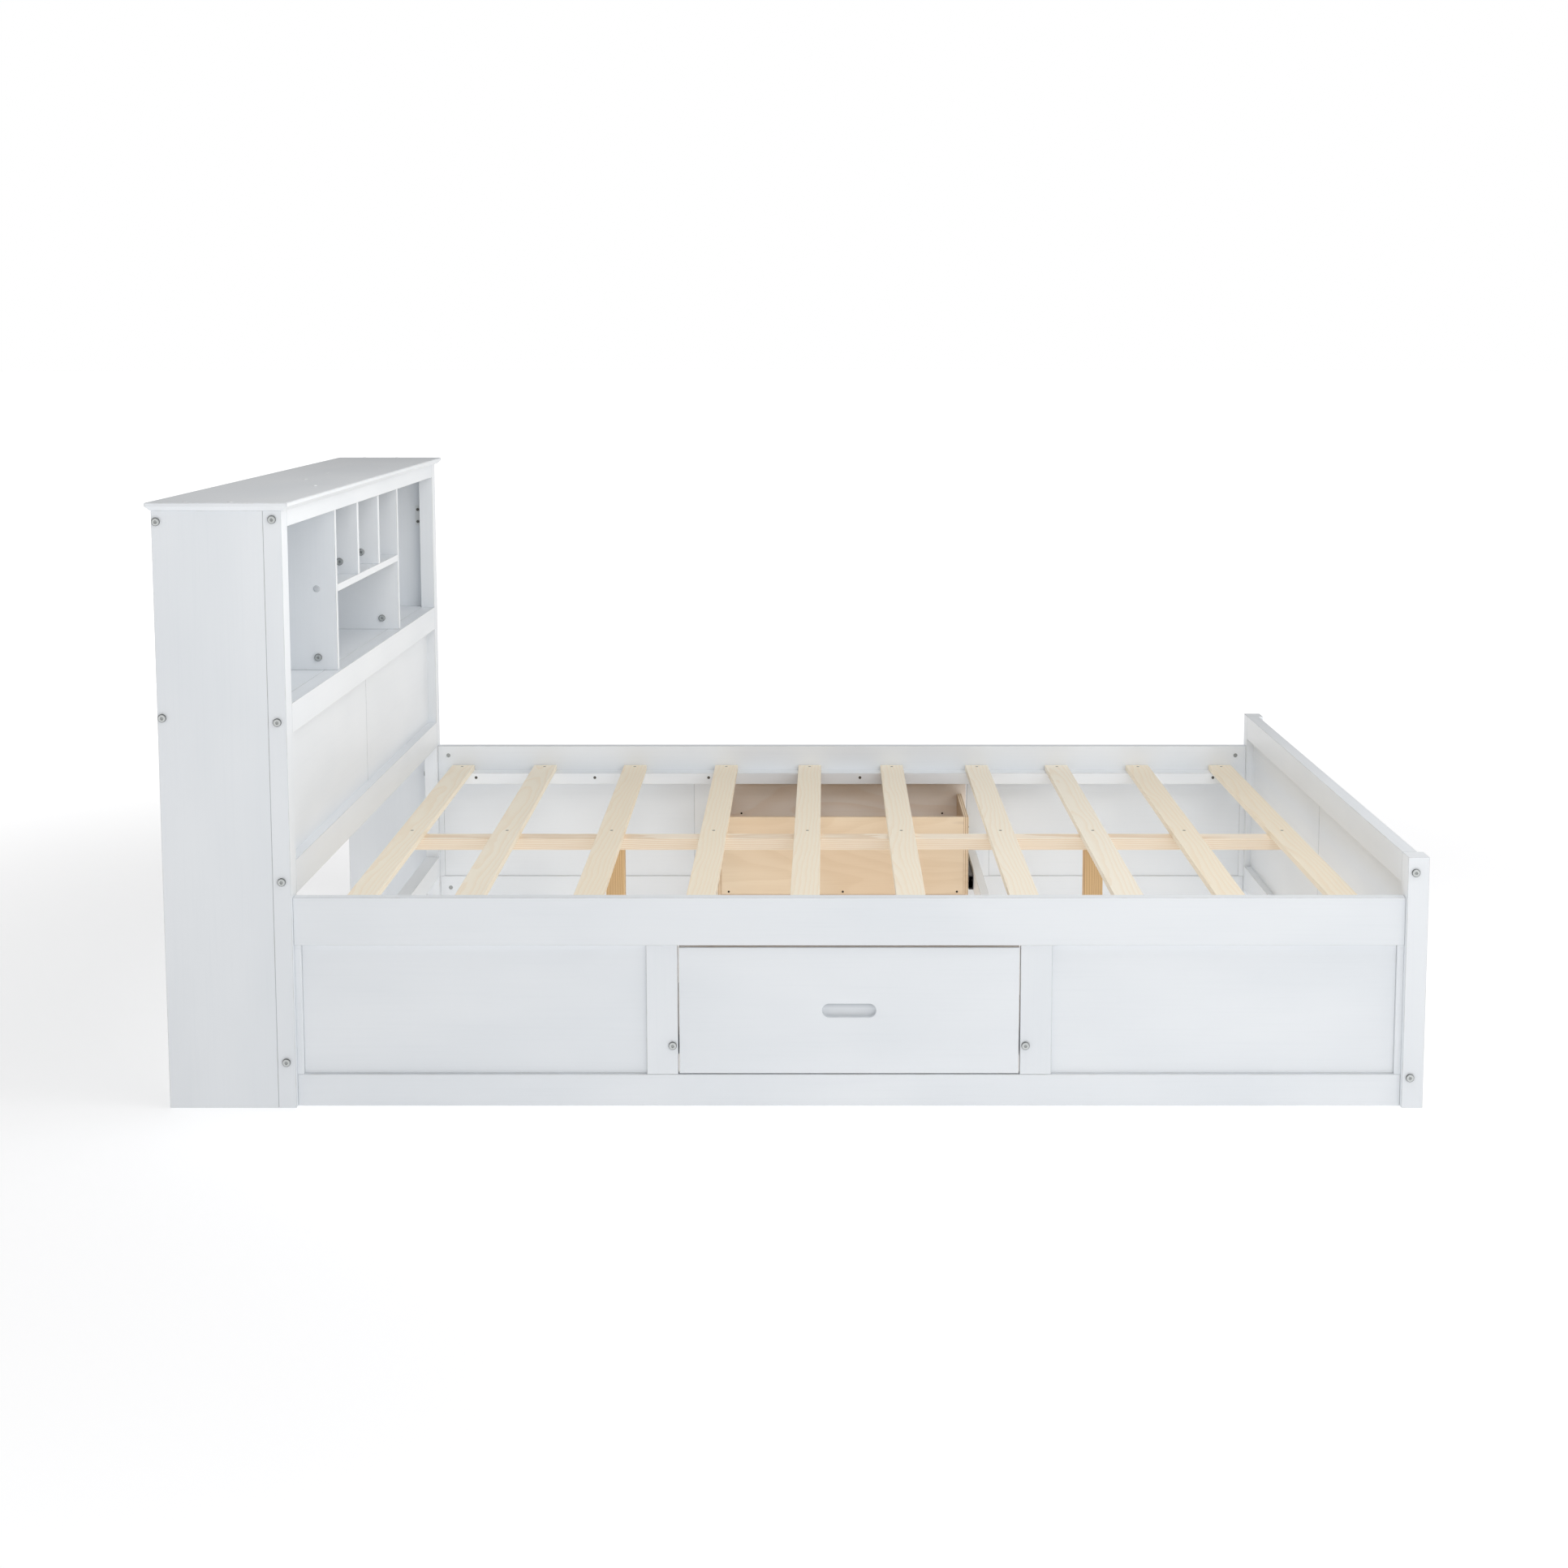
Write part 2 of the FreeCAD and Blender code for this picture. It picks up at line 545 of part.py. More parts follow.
def bookcase():
    """The shelf, the back and its rails, and the dividers and cubby shelf between them."""
    inside = (minus("side_inner"), "side_inner")
    bolt_x = "head_back + back_bolt_inset"
    for name, low, height in BACK_RAILS:
        rail = keep(board(name, ("head_back", "back_rail_front"), inside,
                          (low, f"{low} + {height}")))
        end_bolts(rail, "y", (middle(low, height),), "+x", bolt_x, bolt_x)
    shelf = ("back_rail_front", "post_back")
    shelf_board = keep(board("bookcase_shelf", shelf, inside,
                             ("shelf_top - shelf_thickness", "shelf_top")))
    keep(board("bookcase_back", ("head_back + back_inset", "back_panel_front"), inside,
               ("shelf_top", "back_top_rail_bottom"), ease="0.5"))
    depth = ("back_panel_front", "divider_front")
    notch_front = ("rectangle", "post_back", "top_rail_bottom", "divider_front + 1",
                   "head_height + 1")
    notch_back = ("rectangle", "back_panel_front - 1", "back_top_rail_bottom", "back_rail_front",
                  "head_height + 1")
    cubby_fixings = [(x, "(cubby_shelf_bottom + cubby_shelf_top) / 2") for x in
                     ("brace_x", "back_rail_front + cubby_screw_inset")]
    for side, sign in SIDES:
        tall = board(f"bookcase_divider_{side}", depth,
                     mirrored(sign, "tall_divider_inner", "tall_divider_inner + divider_thickness"),
                     ("shelf_top", "head_height"), ease="0.8")
        cut(tall, "-y", "divider_thickness", notch_front, notch_back,
            ("circle", "brace_x", "shelf_top + brace_screw_place", "bolt_hole"))
        screw_holes(tall, FACING[sign][0], "divider_thickness", cubby_fixings)
        cap_pilots(tall, f"tall_{side}")
        keep(tall)
    cubby_shelf = keep(board("cubby_shelf", depth,
                             (minus("tall_divider_inner"), "tall_divider_inner"),
                             ("cubby_shelf_bottom", "cubby_shelf_top"), ease="0.8"))
    for _, sign in SIDES:
        screw_holes(cubby_shelf, FACING[sign][0], "cubby_screw_length - divider_thickness + 1",
                    cubby_fixings, seat=False)
        for x, z in cubby_fixings:
            screw(FACING[sign][0], (x, outward(sign, "tall_divider_inner + divider_thickness"), z),
                  "cubby_screw_length")
    for board_below, place in ((shelf_board, "tall_divider_place"),
                               (cubby_shelf, "short_divider_place")):
        screw_holes(board_below, "+z", "brace_screw_length",
                    [("brace_x", f"{sign} * {place} + divider_thickness / 2 + brace_screw_place")
                     for _, sign in SIDES], seat=False)
    short = []
    for side, sign in SIDES:
        low = f"{sign} * short_divider_place - divider_thickness / 2"
        divider = board(f"cubby_divider_{side}", depth, (low, f"{low} + divider_thickness"),
                        ("cubby_shelf_top", "head_height"), ease="0.8")
        cut(divider, "-y", "divider_thickness", notch_front, notch_back,
            ("circle", "brace_x", "cubby_shelf_top + brace_screw_place", "bolt_hole"))
        cap_pilots(divider, f"short_{side}")
        short.append(divider)
    group("cubby_dividers", short)


def divider_brace():
    """An angle of bent strip, its corner at the origin and its legs along +Y and +Z."""
    leg, wide, thick = size("brace_leg"), size("brace_width"), size("brace_thickness")
    place, hole = size("brace_screw_place"), size("bolt_hole") / 2
    flat = Part.makeBox(wide, leg, thick, V(-wide / 2, 0, 0))
    upright = Part.makeBox(wide, thick, leg, V(-wide / 2, 0, 0))
    angle = flat.fuse(upright).removeSplitter()
    angle = angle.cut(Part.makeCylinder(size("screw_hole") / 2, thick, V(0, place, 0)))
    return angle.cut(Part.makeCylinder(hole, thick, V(0, 0, place), V(0, 1, 0)))


def post_angle(sign):
    """A short length of angle that joins a post to the side panel behind it."""
    leg, tall, thick = size("angle_leg"), size("angle_length"), size("brace_thickness")
    inward = -sign
    on_panel = Part.makeBox(leg, thick, tall, V(-leg, min(0, inward * thick), -tall / 2))
    on_post = Part.makeBox(thick, leg, tall, V(-thick, min(0, inward * leg), -tall / 2))
    angle = on_panel.fuse(on_post).removeSplitter()
    hole, reach = size("screw_hole") / 2, size("angle_hole_place")
    for z in (-size("angle_hole_spacing") / 2, size("angle_hole_spacing") / 2):
        angle = angle.cut(Part.makeCylinder(hole, thick, V(-reach, 0, z), V(0, inward, 0)))
        angle = angle.cut(Part.makeCylinder(hole, thick, V(-thick, inward * reach, z), V(1, 0, 0)))
    return angle


def braces():
    """Steel angles that hold each divider to its shelf and each post to its side panel."""
    shapes = []
    divider_bolt = bolt_shape(size("divider_thickness + brace_thickness + 2"))
    for place, floor in (("-tall_divider_place", "shelf_top"),
                         ("-short_divider_place", "cubby_shelf_top"),
                         ("short_divider_place", "cubby_shelf_top"),
                         ("tall_divider_place", "shelf_top")):
        face = f"{place} + divider_thickness / 2"
        brace = divider_brace()
        brace.translate(V(size("brace_x"), size(face), size(floor)))
        shapes.append(brace)
        bolts.append(placed(divider_bolt, ("brace_x", f"{place} - divider_thickness / 2",
                                           f"{floor} + brace_screw_place"), "-y"))
        screw("+z", ("brace_x", f"{face} + brace_screw_place",
                     f"{floor} + brace_thickness + screw_head_height"), "brace_screw_length")
    lift = "brace_thickness + screw_head_height"
    for side, sign in SIDES:
        angle = post_angle(sign)
        angle.translate(V(size("post_back"), sign * size("side_inner"), size("angle_middle")))
        shapes.append(angle)
        for way in "-+":
            z = f"angle_middle {way} angle_hole_spacing / 2"
            screw(FACING[sign][1], ("post_back - angle_hole_place",
                                    outward(sign, f"side_inner - ({lift})"), z),
                  "brace_screw_length")
            screw("-x", (f"post_back - ({lift})",
                         outward(sign, "side_inner - angle_hole_place"), z), "brace_screw_length")
    solids("corner_braces", shapes)


# --- footboard --------------------------------------------------------------------------------

FOOT_RAILS = (
    ("footboard_top_rail", "foot_top_rail_bottom", "foot_top_rail_height"),
    ("footboard_bottom_rail", "foot_bottom_rail_bottom", "foot_bottom_rail_height"),
)


def footboard():
    """Two posts, two rails and two panels that meet at mid-width."""
    rail_middle = "foot_inner + foot_rail_thickness / 2"
    heights = [middle(low, height) for _, low, height in FOOT_RAILS]
    tongue = "groove_depth - groove_play"
    for side, sign in SIDES:
        out, inward = FACING[sign]
        face = outward(sign, "post_outer")
        rail_y = outward(sign, "bolt_line")
        post = keep(board(f"footboard_post_{side}", ("foot_inner", "foot_outer"),
                          mirrored(sign, "post_inner", "post_outer"), ("0", "foot_height")))
        cut(post, out, "post_width", *(("circle", rail_middle, z, "bolt_hole") for z in heights))
        cut(post, "+x", "foot_post_depth",
            *(("circle", rail_y, z, "bolt_hole") for z in SIDE_BOLTS + BASE_BOLTS))
        cut(post, inward, "groove_depth",
            ("rectangle", "foot_panel_inner", "foot_bottom_rail_top - groove_depth",
             "foot_panel_outer", "foot_top_rail_bottom + groove_depth"))
        for z in heights:
            bolt(out, (rail_middle, face, z), "post_width")
        for z in SIDE_BOLTS + BASE_BOLTS:
            bolt("+x", ("foot_outer", rail_y, z), "foot_post_depth")
        keep(board(f"footboard_panel_{side}", ("foot_panel_inner", "foot_panel_outer"),
                   mirrored(sign, "panel_joint / 2", f"post_inner + {tongue}"),
                   (f"foot_bottom_rail_top - ({tongue})", f"foot_top_rail_bottom + {tongue}"),
                   ease="0.8"))
    for (name, low, height), groove_side in zip(FOOT_RAILS, ("-z", "+z")):
        rail = keep(board(name, ("foot_inner", "foot_rail_outer"),
                          (minus("post_inner"), "post_inner"), (low, f"{low} + {height}")))
        end_bolts(rail, "y", (middle(low, height),), "+x", rail_middle, rail_middle)
        cut(rail, groove_side, "groove_depth",
            ("rectangle", "foot_panel_inner", minus("post_inner + 1"), "foot_panel_outer",
             "post_inner + 1"))


# --- long sides -------------------------------------------------------------------------------

def long_side(side, sign):
    """One long side: rail, base, stiles, panels, end strips and the ledger inside it."""
    out, inward = FACING[sign]
    length = ("head_front", "foot_inner")
    nut_y = outward(sign, "bolt_line")
    panel_y = mirrored(sign, "panel_inner", "panel_outer")
    rail = keep(board(f"side_rail_{side}", length, mirrored(sign, "half_inside", "half_width"),
                      ("rail_bottom", "rail_top")))
    end_bolts(rail, "x", SIDE_BOLTS, inward, nut_y, nut_y)
    base = keep(board(f"base_rail_{side}", length, mirrored(sign, "frame_inner", "frame_outer"),
                      ("0", "base_height")))
    end_bolts(base, "x", BASE_BOLTS, inward, nut_y, nut_y)
    strips = []
    for end, direction in ENDS:
        edge = f"drawer_middle + {direction} * half_opening"
        stile_x = sorted((edge, f"drawer_middle + {direction} * (half_opening + stile_width)"),
                         key=size)
        strip_x = (("head_front", "head_front + end_strip_width") if direction < 0 else
                   ("foot_inner - end_strip_width", "foot_inner"))
        panel_x = ((strip_x[1], stile_x[0]) if direction < 0 else (stile_x[1], strip_x[0]))
        stile = keep(board(f"stile_{end}_{side}", stile_x,
                           mirrored(sign, "frame_inner", "frame_outer"),
                           ("base_height", "rail_bottom")))
        bolt_x = f"drawer_middle + {direction} * (half_opening + cross_rail_thickness / 2)"
        cut(stile, out, "frame_thickness", ("circle", bolt_x, "cross_rail_middle", "bolt_hole"))
        bolt(out, (bolt_x, outward(sign, "frame_outer"), "cross_rail_middle"), "frame_thickness")
        keep(board(f"side_panel_{end}_{side}", panel_x, panel_y, ("base_height", "rail_bottom"),
                   ease="0.8"))
        strips.append(board(f"end_strip_{end}_{side}", strip_x,
                            mirrored(sign, "frame_inner", "frame_outer"),
                            ("base_height", "rail_bottom"), ease="0.8"))
    ledger = keep(board(f"slat_ledger_{side}",
                        ("head_front + ledger_end_gap", "foot_inner - ledger_end_gap"),
                        mirrored(sign, "half_inside - ledger_depth", "half_inside"),
                        ("ledger_top - ledger_height", "ledger_top")))
    spots = [(f"drawer_middle + {share} * rail_length", "ledger_screw_height")
             for share in LEDGER_SCREWS]
    screw_holes(ledger, inward, "ledger_depth", spots)
    screw_holes(rail, inward, "ledger_screw_length - ledger_depth + 1", spots, seat=False)
    screw_holes(ledger, "+z", "slat_screw_length - slat_thickness + 1", slat_screw_places(sign),
                seat=False)
    for x, z in spots:
        screw(inward, (x, outward(sign, "half_inside - ledger_depth"), z), "ledger_screw_length")
    return strips


# --- mattress support -------------------------------------------------------------------------

def slat_even_place(index):
    """The middle of a slat's left end along X, if the slats were evenly spread."""
    first, last = "head_front + first_slat_inset", "foot_inner - last_slat_inset"
    return f"{first} + ({last} - ({first})) * {index} / {len(SLAT_LAY) - 1}"


def slat_screw_places(sign):
    """Where each slat is screwed down, on the left (-1), on the right (1) or at the middle (0)."""
    reach = f"{sign} * (half_slat - slat_screw_inset)"
    return [(f"{slat_even_place(index)} + {shift} + {lean} * (half_slat + {reach}) / (2 * half_slat)",
             f"{reach} - {lean} * slat_width / (4 * half_slat)")
            for index, (shift, lean) in enumerate(SLAT_LAY)]


def slats():
    """Slats across both ledgers, screwed down by eye, so none is quite square to the rails."""
    members = []
    for index, (shift, lean) in enumerate(SLAT_LAY):
        middle_x = f"{slat_even_place(index)} + {shift}"
        slat = board(f"bed_slat_{index + 1}",
                     (f"{middle_x} - slat_width / 2", f"{middle_x} + slat_width / 2"),
                     (minus("half_slat"), "half_slat"), ("ledger_top", "slat_top"))
        spots = [(middle_x, f"{sign} * (half_slat - slat_screw_inset)") for sign in (-1, 0, 1)]
        screw_holes(slat, "+z", "slat_thickness", spots)
        turn = FreeCAD.Rotation(V(0, 0, 1), math.degrees(math.atan2(-lean, size("2 * half_slat"))))
        slat.Placement = FreeCAD.Placement(slat.Placement.Base, turn)
        members.append(slat)
    for sign in (-1, 0, 1):
        for x, y in slat_screw_places(sign):
            screw("+z", (x, y, "slat_top"), "slat_screw_length")
    group("bed_slats", members)


def centre_support():
    """A beam under the middle of the slats, on two square legs."""
    half = "beam_width / 2"
    beam = keep(board("center_beam", ("head_front + first_slat_inset - slat_width / 2",
                                      "foot_inner - last_slat_inset + slat_width / 2"),
                      (minus(half), half), ("beam_bottom", "ledger_top")))
    screw_holes(beam, "+z", "slat_screw_length - slat_thickness + 1", slat_screw_places(0),
                seat=False)
    legs = []
    for end, middle_x in (("head", "head_front + head_leg_inset"),
                          ("foot", "foot_inner - foot_leg_inset")):
        legs.append(board(f"center_leg_{end}",
                          (f"{middle_x} - leg_size / 2", f"{middle_x} + leg_size / 2"),
                          (minus("leg_size / 2"), "leg_size / 2"), ("0", "beam_bottom")))
    group("center_legs", legs)


# --- drawers ----------------------------------------------------------------------------------

def cross_rails():
    """Two rails across the bed, between the stiles, that carry the drawer slides."""
    for end, direction in ENDS:
        faces = sorted((f"drawer_middle + {direction} * half_opening",
                        f"drawer_middle + {direction} * cross_rail_outer"), key=size)
        rail = keep(board(f"cross_rail_{end}", faces, (minus("frame_inner"), "frame_inner"),
                          ("cross_rail_bottom", "cross_rail_bottom + cross_rail_height")))
        middle_x = f"drawer_middle + {direction} * (half_opening + cross_rail_thickness / 2)"
        outer_face = "+x" if direction > 0 else "-x"
        end_bolts(rail, "y", ("cross_rail_middle",), outer_face, middle_x, middle_x)


def channel(x_web, x_open, y, low, high):
    """A rolled channel: a web on one side and two flanges towards the other, along Y."""
    wall = size("slide_wall")
    toward = 1 if x_open > x_web else -1
    web = sorted((x_web, x_web + toward * wall))
    reach = sorted((x_web, x_open))
    outer = Part.makeBox(reach[1] - reach[0], y[1] - y[0], high - low, V(reach[0], y[0], low))
    hollow_x = sorted((x_web + toward * wall, x_open + toward))
    hollow = Part.makeBox(hollow_x[1] - hollow_x[0], y[1] - y[0] + 2, high - low - 2 * wall,
                          V(hollow_x[0], y[0] - 1, low + wall))
    return outer.cut(hollow)


def slide_pair(side, sign):
    """The fixed channels on the cross rails and the runners on the drawer, for one drawer."""
    fixed, moving = [], []
    low, high = size("slide_low"), size("slide_low + slide_height")
    inside = size("slide_wall + slide_play")
    for _, direction in ENDS:
        rail_x = size(f"drawer_middle + {direction} * half_opening")
        box_x = size(f"drawer_middle + {direction} * box_half")
        shy = direction * size("slide_wall + slide_play")
        y_fixed = sorted(sign * size(f"half_width - ({text})") for text in
                         ("slide_inset", "slide_inset + slide_length"))
        y_moving = sorted(sign * size(f"half_width - ({text})") for text in
                          ("runner_inset", "runner_inset + slide_length"))
        fixed.append(channel(rail_x, box_x + shy, y_fixed, low, high))
        moving.append(channel(box_x, rail_x - shy, y_moving, low + inside, high - inside))
    solids(f"drawer_{side}_runners", moving)
    return fixed


def drawer(side, sign):
    """One drawer: a painted front with a finger slot on a plywood box."""
    out = FACING[sign][0]
    half_front = "half_opening - front_gap"
    front = keep(board(f"drawer_{side}_front",
                       (f"drawer_middle - ({half_front})", f"drawer_middle + {half_front}"),
                       mirrored(sign, "front_inner", "frame_outer"),
                       ("base_height + front_gap", "rail_bottom - front_top_gap")))
    handle_z = "(base_height + rail_bottom) / 2 - handle_drop"
    cut(front, out, "handle_depth",
        ("stadium", "drawer_middle", handle_z, "handle_length", "handle_height"))
    groove_z = ("bottom_low", "bottom_low + bottom_thickness")
    box_y = mirrored(sign, "box_inner_end", "front_inner")
    walls = []
    for end, direction in ENDS:
        faces = sorted((f"drawer_middle + {direction} * (box_half - box_wall)",
                        f"drawer_middle + {direction} * box_half"), key=size)
        wall = board(f"drawer_{side}_side_{end}", faces, box_y, ("box_bottom", "box_top"),
                     ease="0.6")
        inner_face = "+x" if direction < 0 else "-x"
        cut(wall, inner_face, "bottom_tongue + groove_play",
            ("rectangle", f"{box_y[0]} - 1", groove_z[0], f"{box_y[1]} + 1", groove_z[1]))
        walls.append(wall)
    inside = ("drawer_middle - (box_half - box_wall)", "drawer_middle + box_half - box_wall")
    back_y = mirrored(sign, "box_inner_end", "box_inner_end + box_wall")
    keep(board(f"drawer_{side}_back", inside, back_y, ("bottom_low + bottom_thickness", "box_top"),
               ease="0.6"))
    keep(board(f"drawer_{side}_bottom",
               (f"{inside[0]} - bottom_tongue", f"{inside[1]} + bottom_tongue"), box_y, groove_z,
               ease=None))
    group(f"drawer_{side}_sides", walls)


# --- the whole bed ----------------------------------------------------------------------------

headboard_ends()
headboard_rails()
bookcase()
braces()
footboard()
group("panel_end_strips", [strip for side, sign in SIDES for strip in long_side(side, sign)])
slats()
centre_support()
cross_rails()
fixed_slides = [shape for side, sign in SIDES for shape in slide_pair(side, sign)]
solids("slide_channels", fixed_slides)
for side, sign in SIDES:
    drawer(side, sign)
solids("frame_bolts", bolts)
solids("barrel_nuts", nuts)
solids("wood_screws", screws)

doc.recompute()
for obj in doc.Objects:
    if any(word in state for state in obj.State for word in ("Invalid", "Error")):
        raise RuntimeError(f"{obj.Label} did not build: {obj.State}")
os.makedirs("parts", exist_ok=True)
for obj in sub_parts:
    if obj.Shape.isNull() or not obj.Shape.isValid():
        raise RuntimeError(f"{obj.Label} has no sound shape")
    obj.Shape.exportStep(f"parts/{obj.Label}.step")
print(len(sub_parts), "sub-parts written")
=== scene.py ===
"""Looks of the bookcase platform bed: paint, timber, plywood, steel and the small trim pieces.

Everything is in metres in the bed's own frame: the headboard at -X, the left side at -Y and the
floor at z = 0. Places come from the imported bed's own nodes.
"""

import math

import bpy
import numpy as np
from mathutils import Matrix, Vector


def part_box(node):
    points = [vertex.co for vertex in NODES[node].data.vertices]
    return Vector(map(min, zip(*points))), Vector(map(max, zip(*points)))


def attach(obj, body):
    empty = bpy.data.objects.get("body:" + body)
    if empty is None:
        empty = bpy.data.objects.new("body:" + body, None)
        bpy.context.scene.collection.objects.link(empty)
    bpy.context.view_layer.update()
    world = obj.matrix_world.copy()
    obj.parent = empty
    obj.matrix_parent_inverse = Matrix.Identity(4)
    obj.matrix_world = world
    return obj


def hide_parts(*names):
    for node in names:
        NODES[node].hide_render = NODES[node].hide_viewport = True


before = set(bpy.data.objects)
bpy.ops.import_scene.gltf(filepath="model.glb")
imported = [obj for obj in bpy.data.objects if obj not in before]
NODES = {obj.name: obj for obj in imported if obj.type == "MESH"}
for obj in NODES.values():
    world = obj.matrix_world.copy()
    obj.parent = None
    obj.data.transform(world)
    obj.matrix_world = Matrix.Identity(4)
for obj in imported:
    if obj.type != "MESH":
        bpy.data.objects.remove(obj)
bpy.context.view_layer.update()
MM = 0.001
SIDES = (("left", -1), ("right", 1))


def colour(red, green, blue):
    """A display colour from 0 to 255 as the linear colour that a shader takes."""
    shares = np.array([red, green, blue]) / 255
    linear = np.where(shares > 0.04045, ((shares + 0.055) / 1.055) ** 2.4, shares / 12.92)
    return (*linear.tolist(), 1.0)


# --- writing materials ------------------------------------------------------------------------

class Value:
    """A number that varies over a surface. Arithmetic on it adds the Math nodes it needs."""

    def __init__(self, finish, socket):
        self.finish, self.socket = finish, socket

    def maths(self, operation, *terms):
        return self.finish.node("ShaderNodeMath", {"operation": operation},
                                dict(enumerate(terms)))

    def __add__(self, other):
        return self.maths("ADD", self, other)

    def __sub__(self, other):
        return self.maths("SUBTRACT", self, other)

    def __rsub__(self, other):
        return self.maths("SUBTRACT", other, self)

    def __mul__(self, other):
        return self.maths("MULTIPLY", self, other)

    def __truediv__(self, other):
        return self.maths("DIVIDE", self, other)

    __radd__, __rmul__ = __add__, __mul__

    def least(self, other):
        return self.maths("MINIMUM", self, other)

    def most(self, other):
        return self.maths("MAXIMUM", self, other)

    def part(self):
        """What is left above the whole number below it."""
        return self.maths("FRACT", self)

    def whole(self):
        return self.maths("FLOOR", self)

    def sine(self):
        return self.maths("SINE", self)

    def root(self):
        return self.maths("SQRT", self)

    def rise(self, low, high):
        """From 0 at low to 1 at high along a smooth step. It falls if high is the smaller."""
        start, end, flip = (low, high, False) if low < high else (high, low, True)
        step = self.finish.node("ShaderNodeMapRange", {"interpolation_type": "SMOOTHSTEP"},
                                {"Value": self, "From Min": start, "From Max": end})
        return 1 - step if flip else step


class Finish:
    """A material being written, with its constants set on its shader's own sockets."""

    def __init__(self, name, **constants):
        self.material = bpy.data.materials.new(name)
        self.material.use_nodes = True
        self.tree = self.material.node_tree
        self.shader = self.tree.nodes["Principled BSDF"]
        for socket, value in constants.items():
            self.shader.inputs[socket.replace("_", " ")].default_value = value

    def node(self, kind, settings=None, inputs=None, output=0):
        """Any node: its type, its settings, then the values or links of its sockets."""
        node = self.tree.nodes.new(kind)
        for name, setting in (settings or {}).items():
            setattr(node, name, setting)
        for name, value in (inputs or {}).items():
            self.feed(node.inputs[name], value)
        return Value(self, node.outputs[output])

    def feed(self, socket, value):
        """Links a varying value to a socket, or sets a plain one on it."""
        if isinstance(value, Value):
            self.tree.links.new(value.socket, socket)
        else:
            socket.default_value = value

    def drive(self, **values):
        """Feeds what varies into the shader."""
        for name, value in values.items():
            self.feed(self.shader.inputs[name.replace("_", " ")], value)

    def place(self):
        """X, Y and Z of the surface, in the bed's own frame."""
        point = self.node("ShaderNodeTexCoord", output="Object")
        return tuple(self.node("ShaderNodeSeparateXYZ", None, {0: point}, output=i)
                     for i in range(3))

    def vector(self, x, y, z):
        """Three numbers as one vector."""
        return self.node("ShaderNodeCombineXYZ", None, {0: x, 1: y, 2: z})

    def noise(self, x, y, z, detail=2.0, roughness=0.5):
        """Smooth noise from 0 to 1, whose cells are as large as x, y and z are scaled to."""
        return self.node("ShaderNodeTexNoise", {"noise_dimensions": "3D"},
                         {"Vector": self.vector(x, y, z), "Scale": 1.0, "Detail": detail,
                          "Roughness": roughness})

    def spots(self, x, y, z):
        """Distance from the nearest of many scattered points."""
        return self.node("ShaderNodeTexVoronoi", {"feature": "F1"},
                         {"Vector": self.vector(x, y, z), "Scale": 1.0})

    def blend(self, share, first, second):
        """A colour between two, by a share from 0 to 1."""
        return self.node("ShaderNodeMix", {"data_type": "RGBA"},
                         {0: share, 6: first, 7: second}, output=2)

    def relief(self, height, metres, strength=1.0):
        """A bump that stands metres proud where height is 1."""
        return self.node("ShaderNodeBump", None,
                         {"Height": height, "Distance": metres, "Strength": strength})


def dress(piece, finish):
    """Gives a piece one finish in place of any that it had."""
    piece.data.materials.clear()
    piece.data.materials.append(finish.material)


# --- paint ------------------------------------------------------------------------------------

PAINT = colour(238, 241, 244)
PAINT_DEEP = colour(230, 234, 238)
PAINT_THIN = colour(222, 221, 215)
# Colour of painted shade: the shadow in the gaps between boards and in the finger slot.
SEAM_SHADE = colour(140, 147, 154)


def edge_distance(finish, node):
    """How far a point on a board's surface is from the board's nearest long edge.

    Of the three distances to the board's pairs of faces, the least is nothing on the surface, so
    the middle one is the distance to the edge.
    """
    low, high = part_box(node)
    gaps = [(value - low[i]).least(high[i] - value) for i, value in enumerate(finish.place())]
    least = gaps[0].least(gaps[1]).least(gaps[2])
    most = gaps[0].most(gaps[1]).most(gaps[2])
    return gaps[0] + gaps[1] + gaps[2] - least - most


def along_grain(finish, node):
    """The surface's place turned so that the first number runs along the board's length."""
    low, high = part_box(node)
    spans = [high[i] - low[i] for i in range(3)]
    order = sorted(range(3), key=lambda i: -spans[i])
    place = finish.place()
    return [place[i] for i in order]


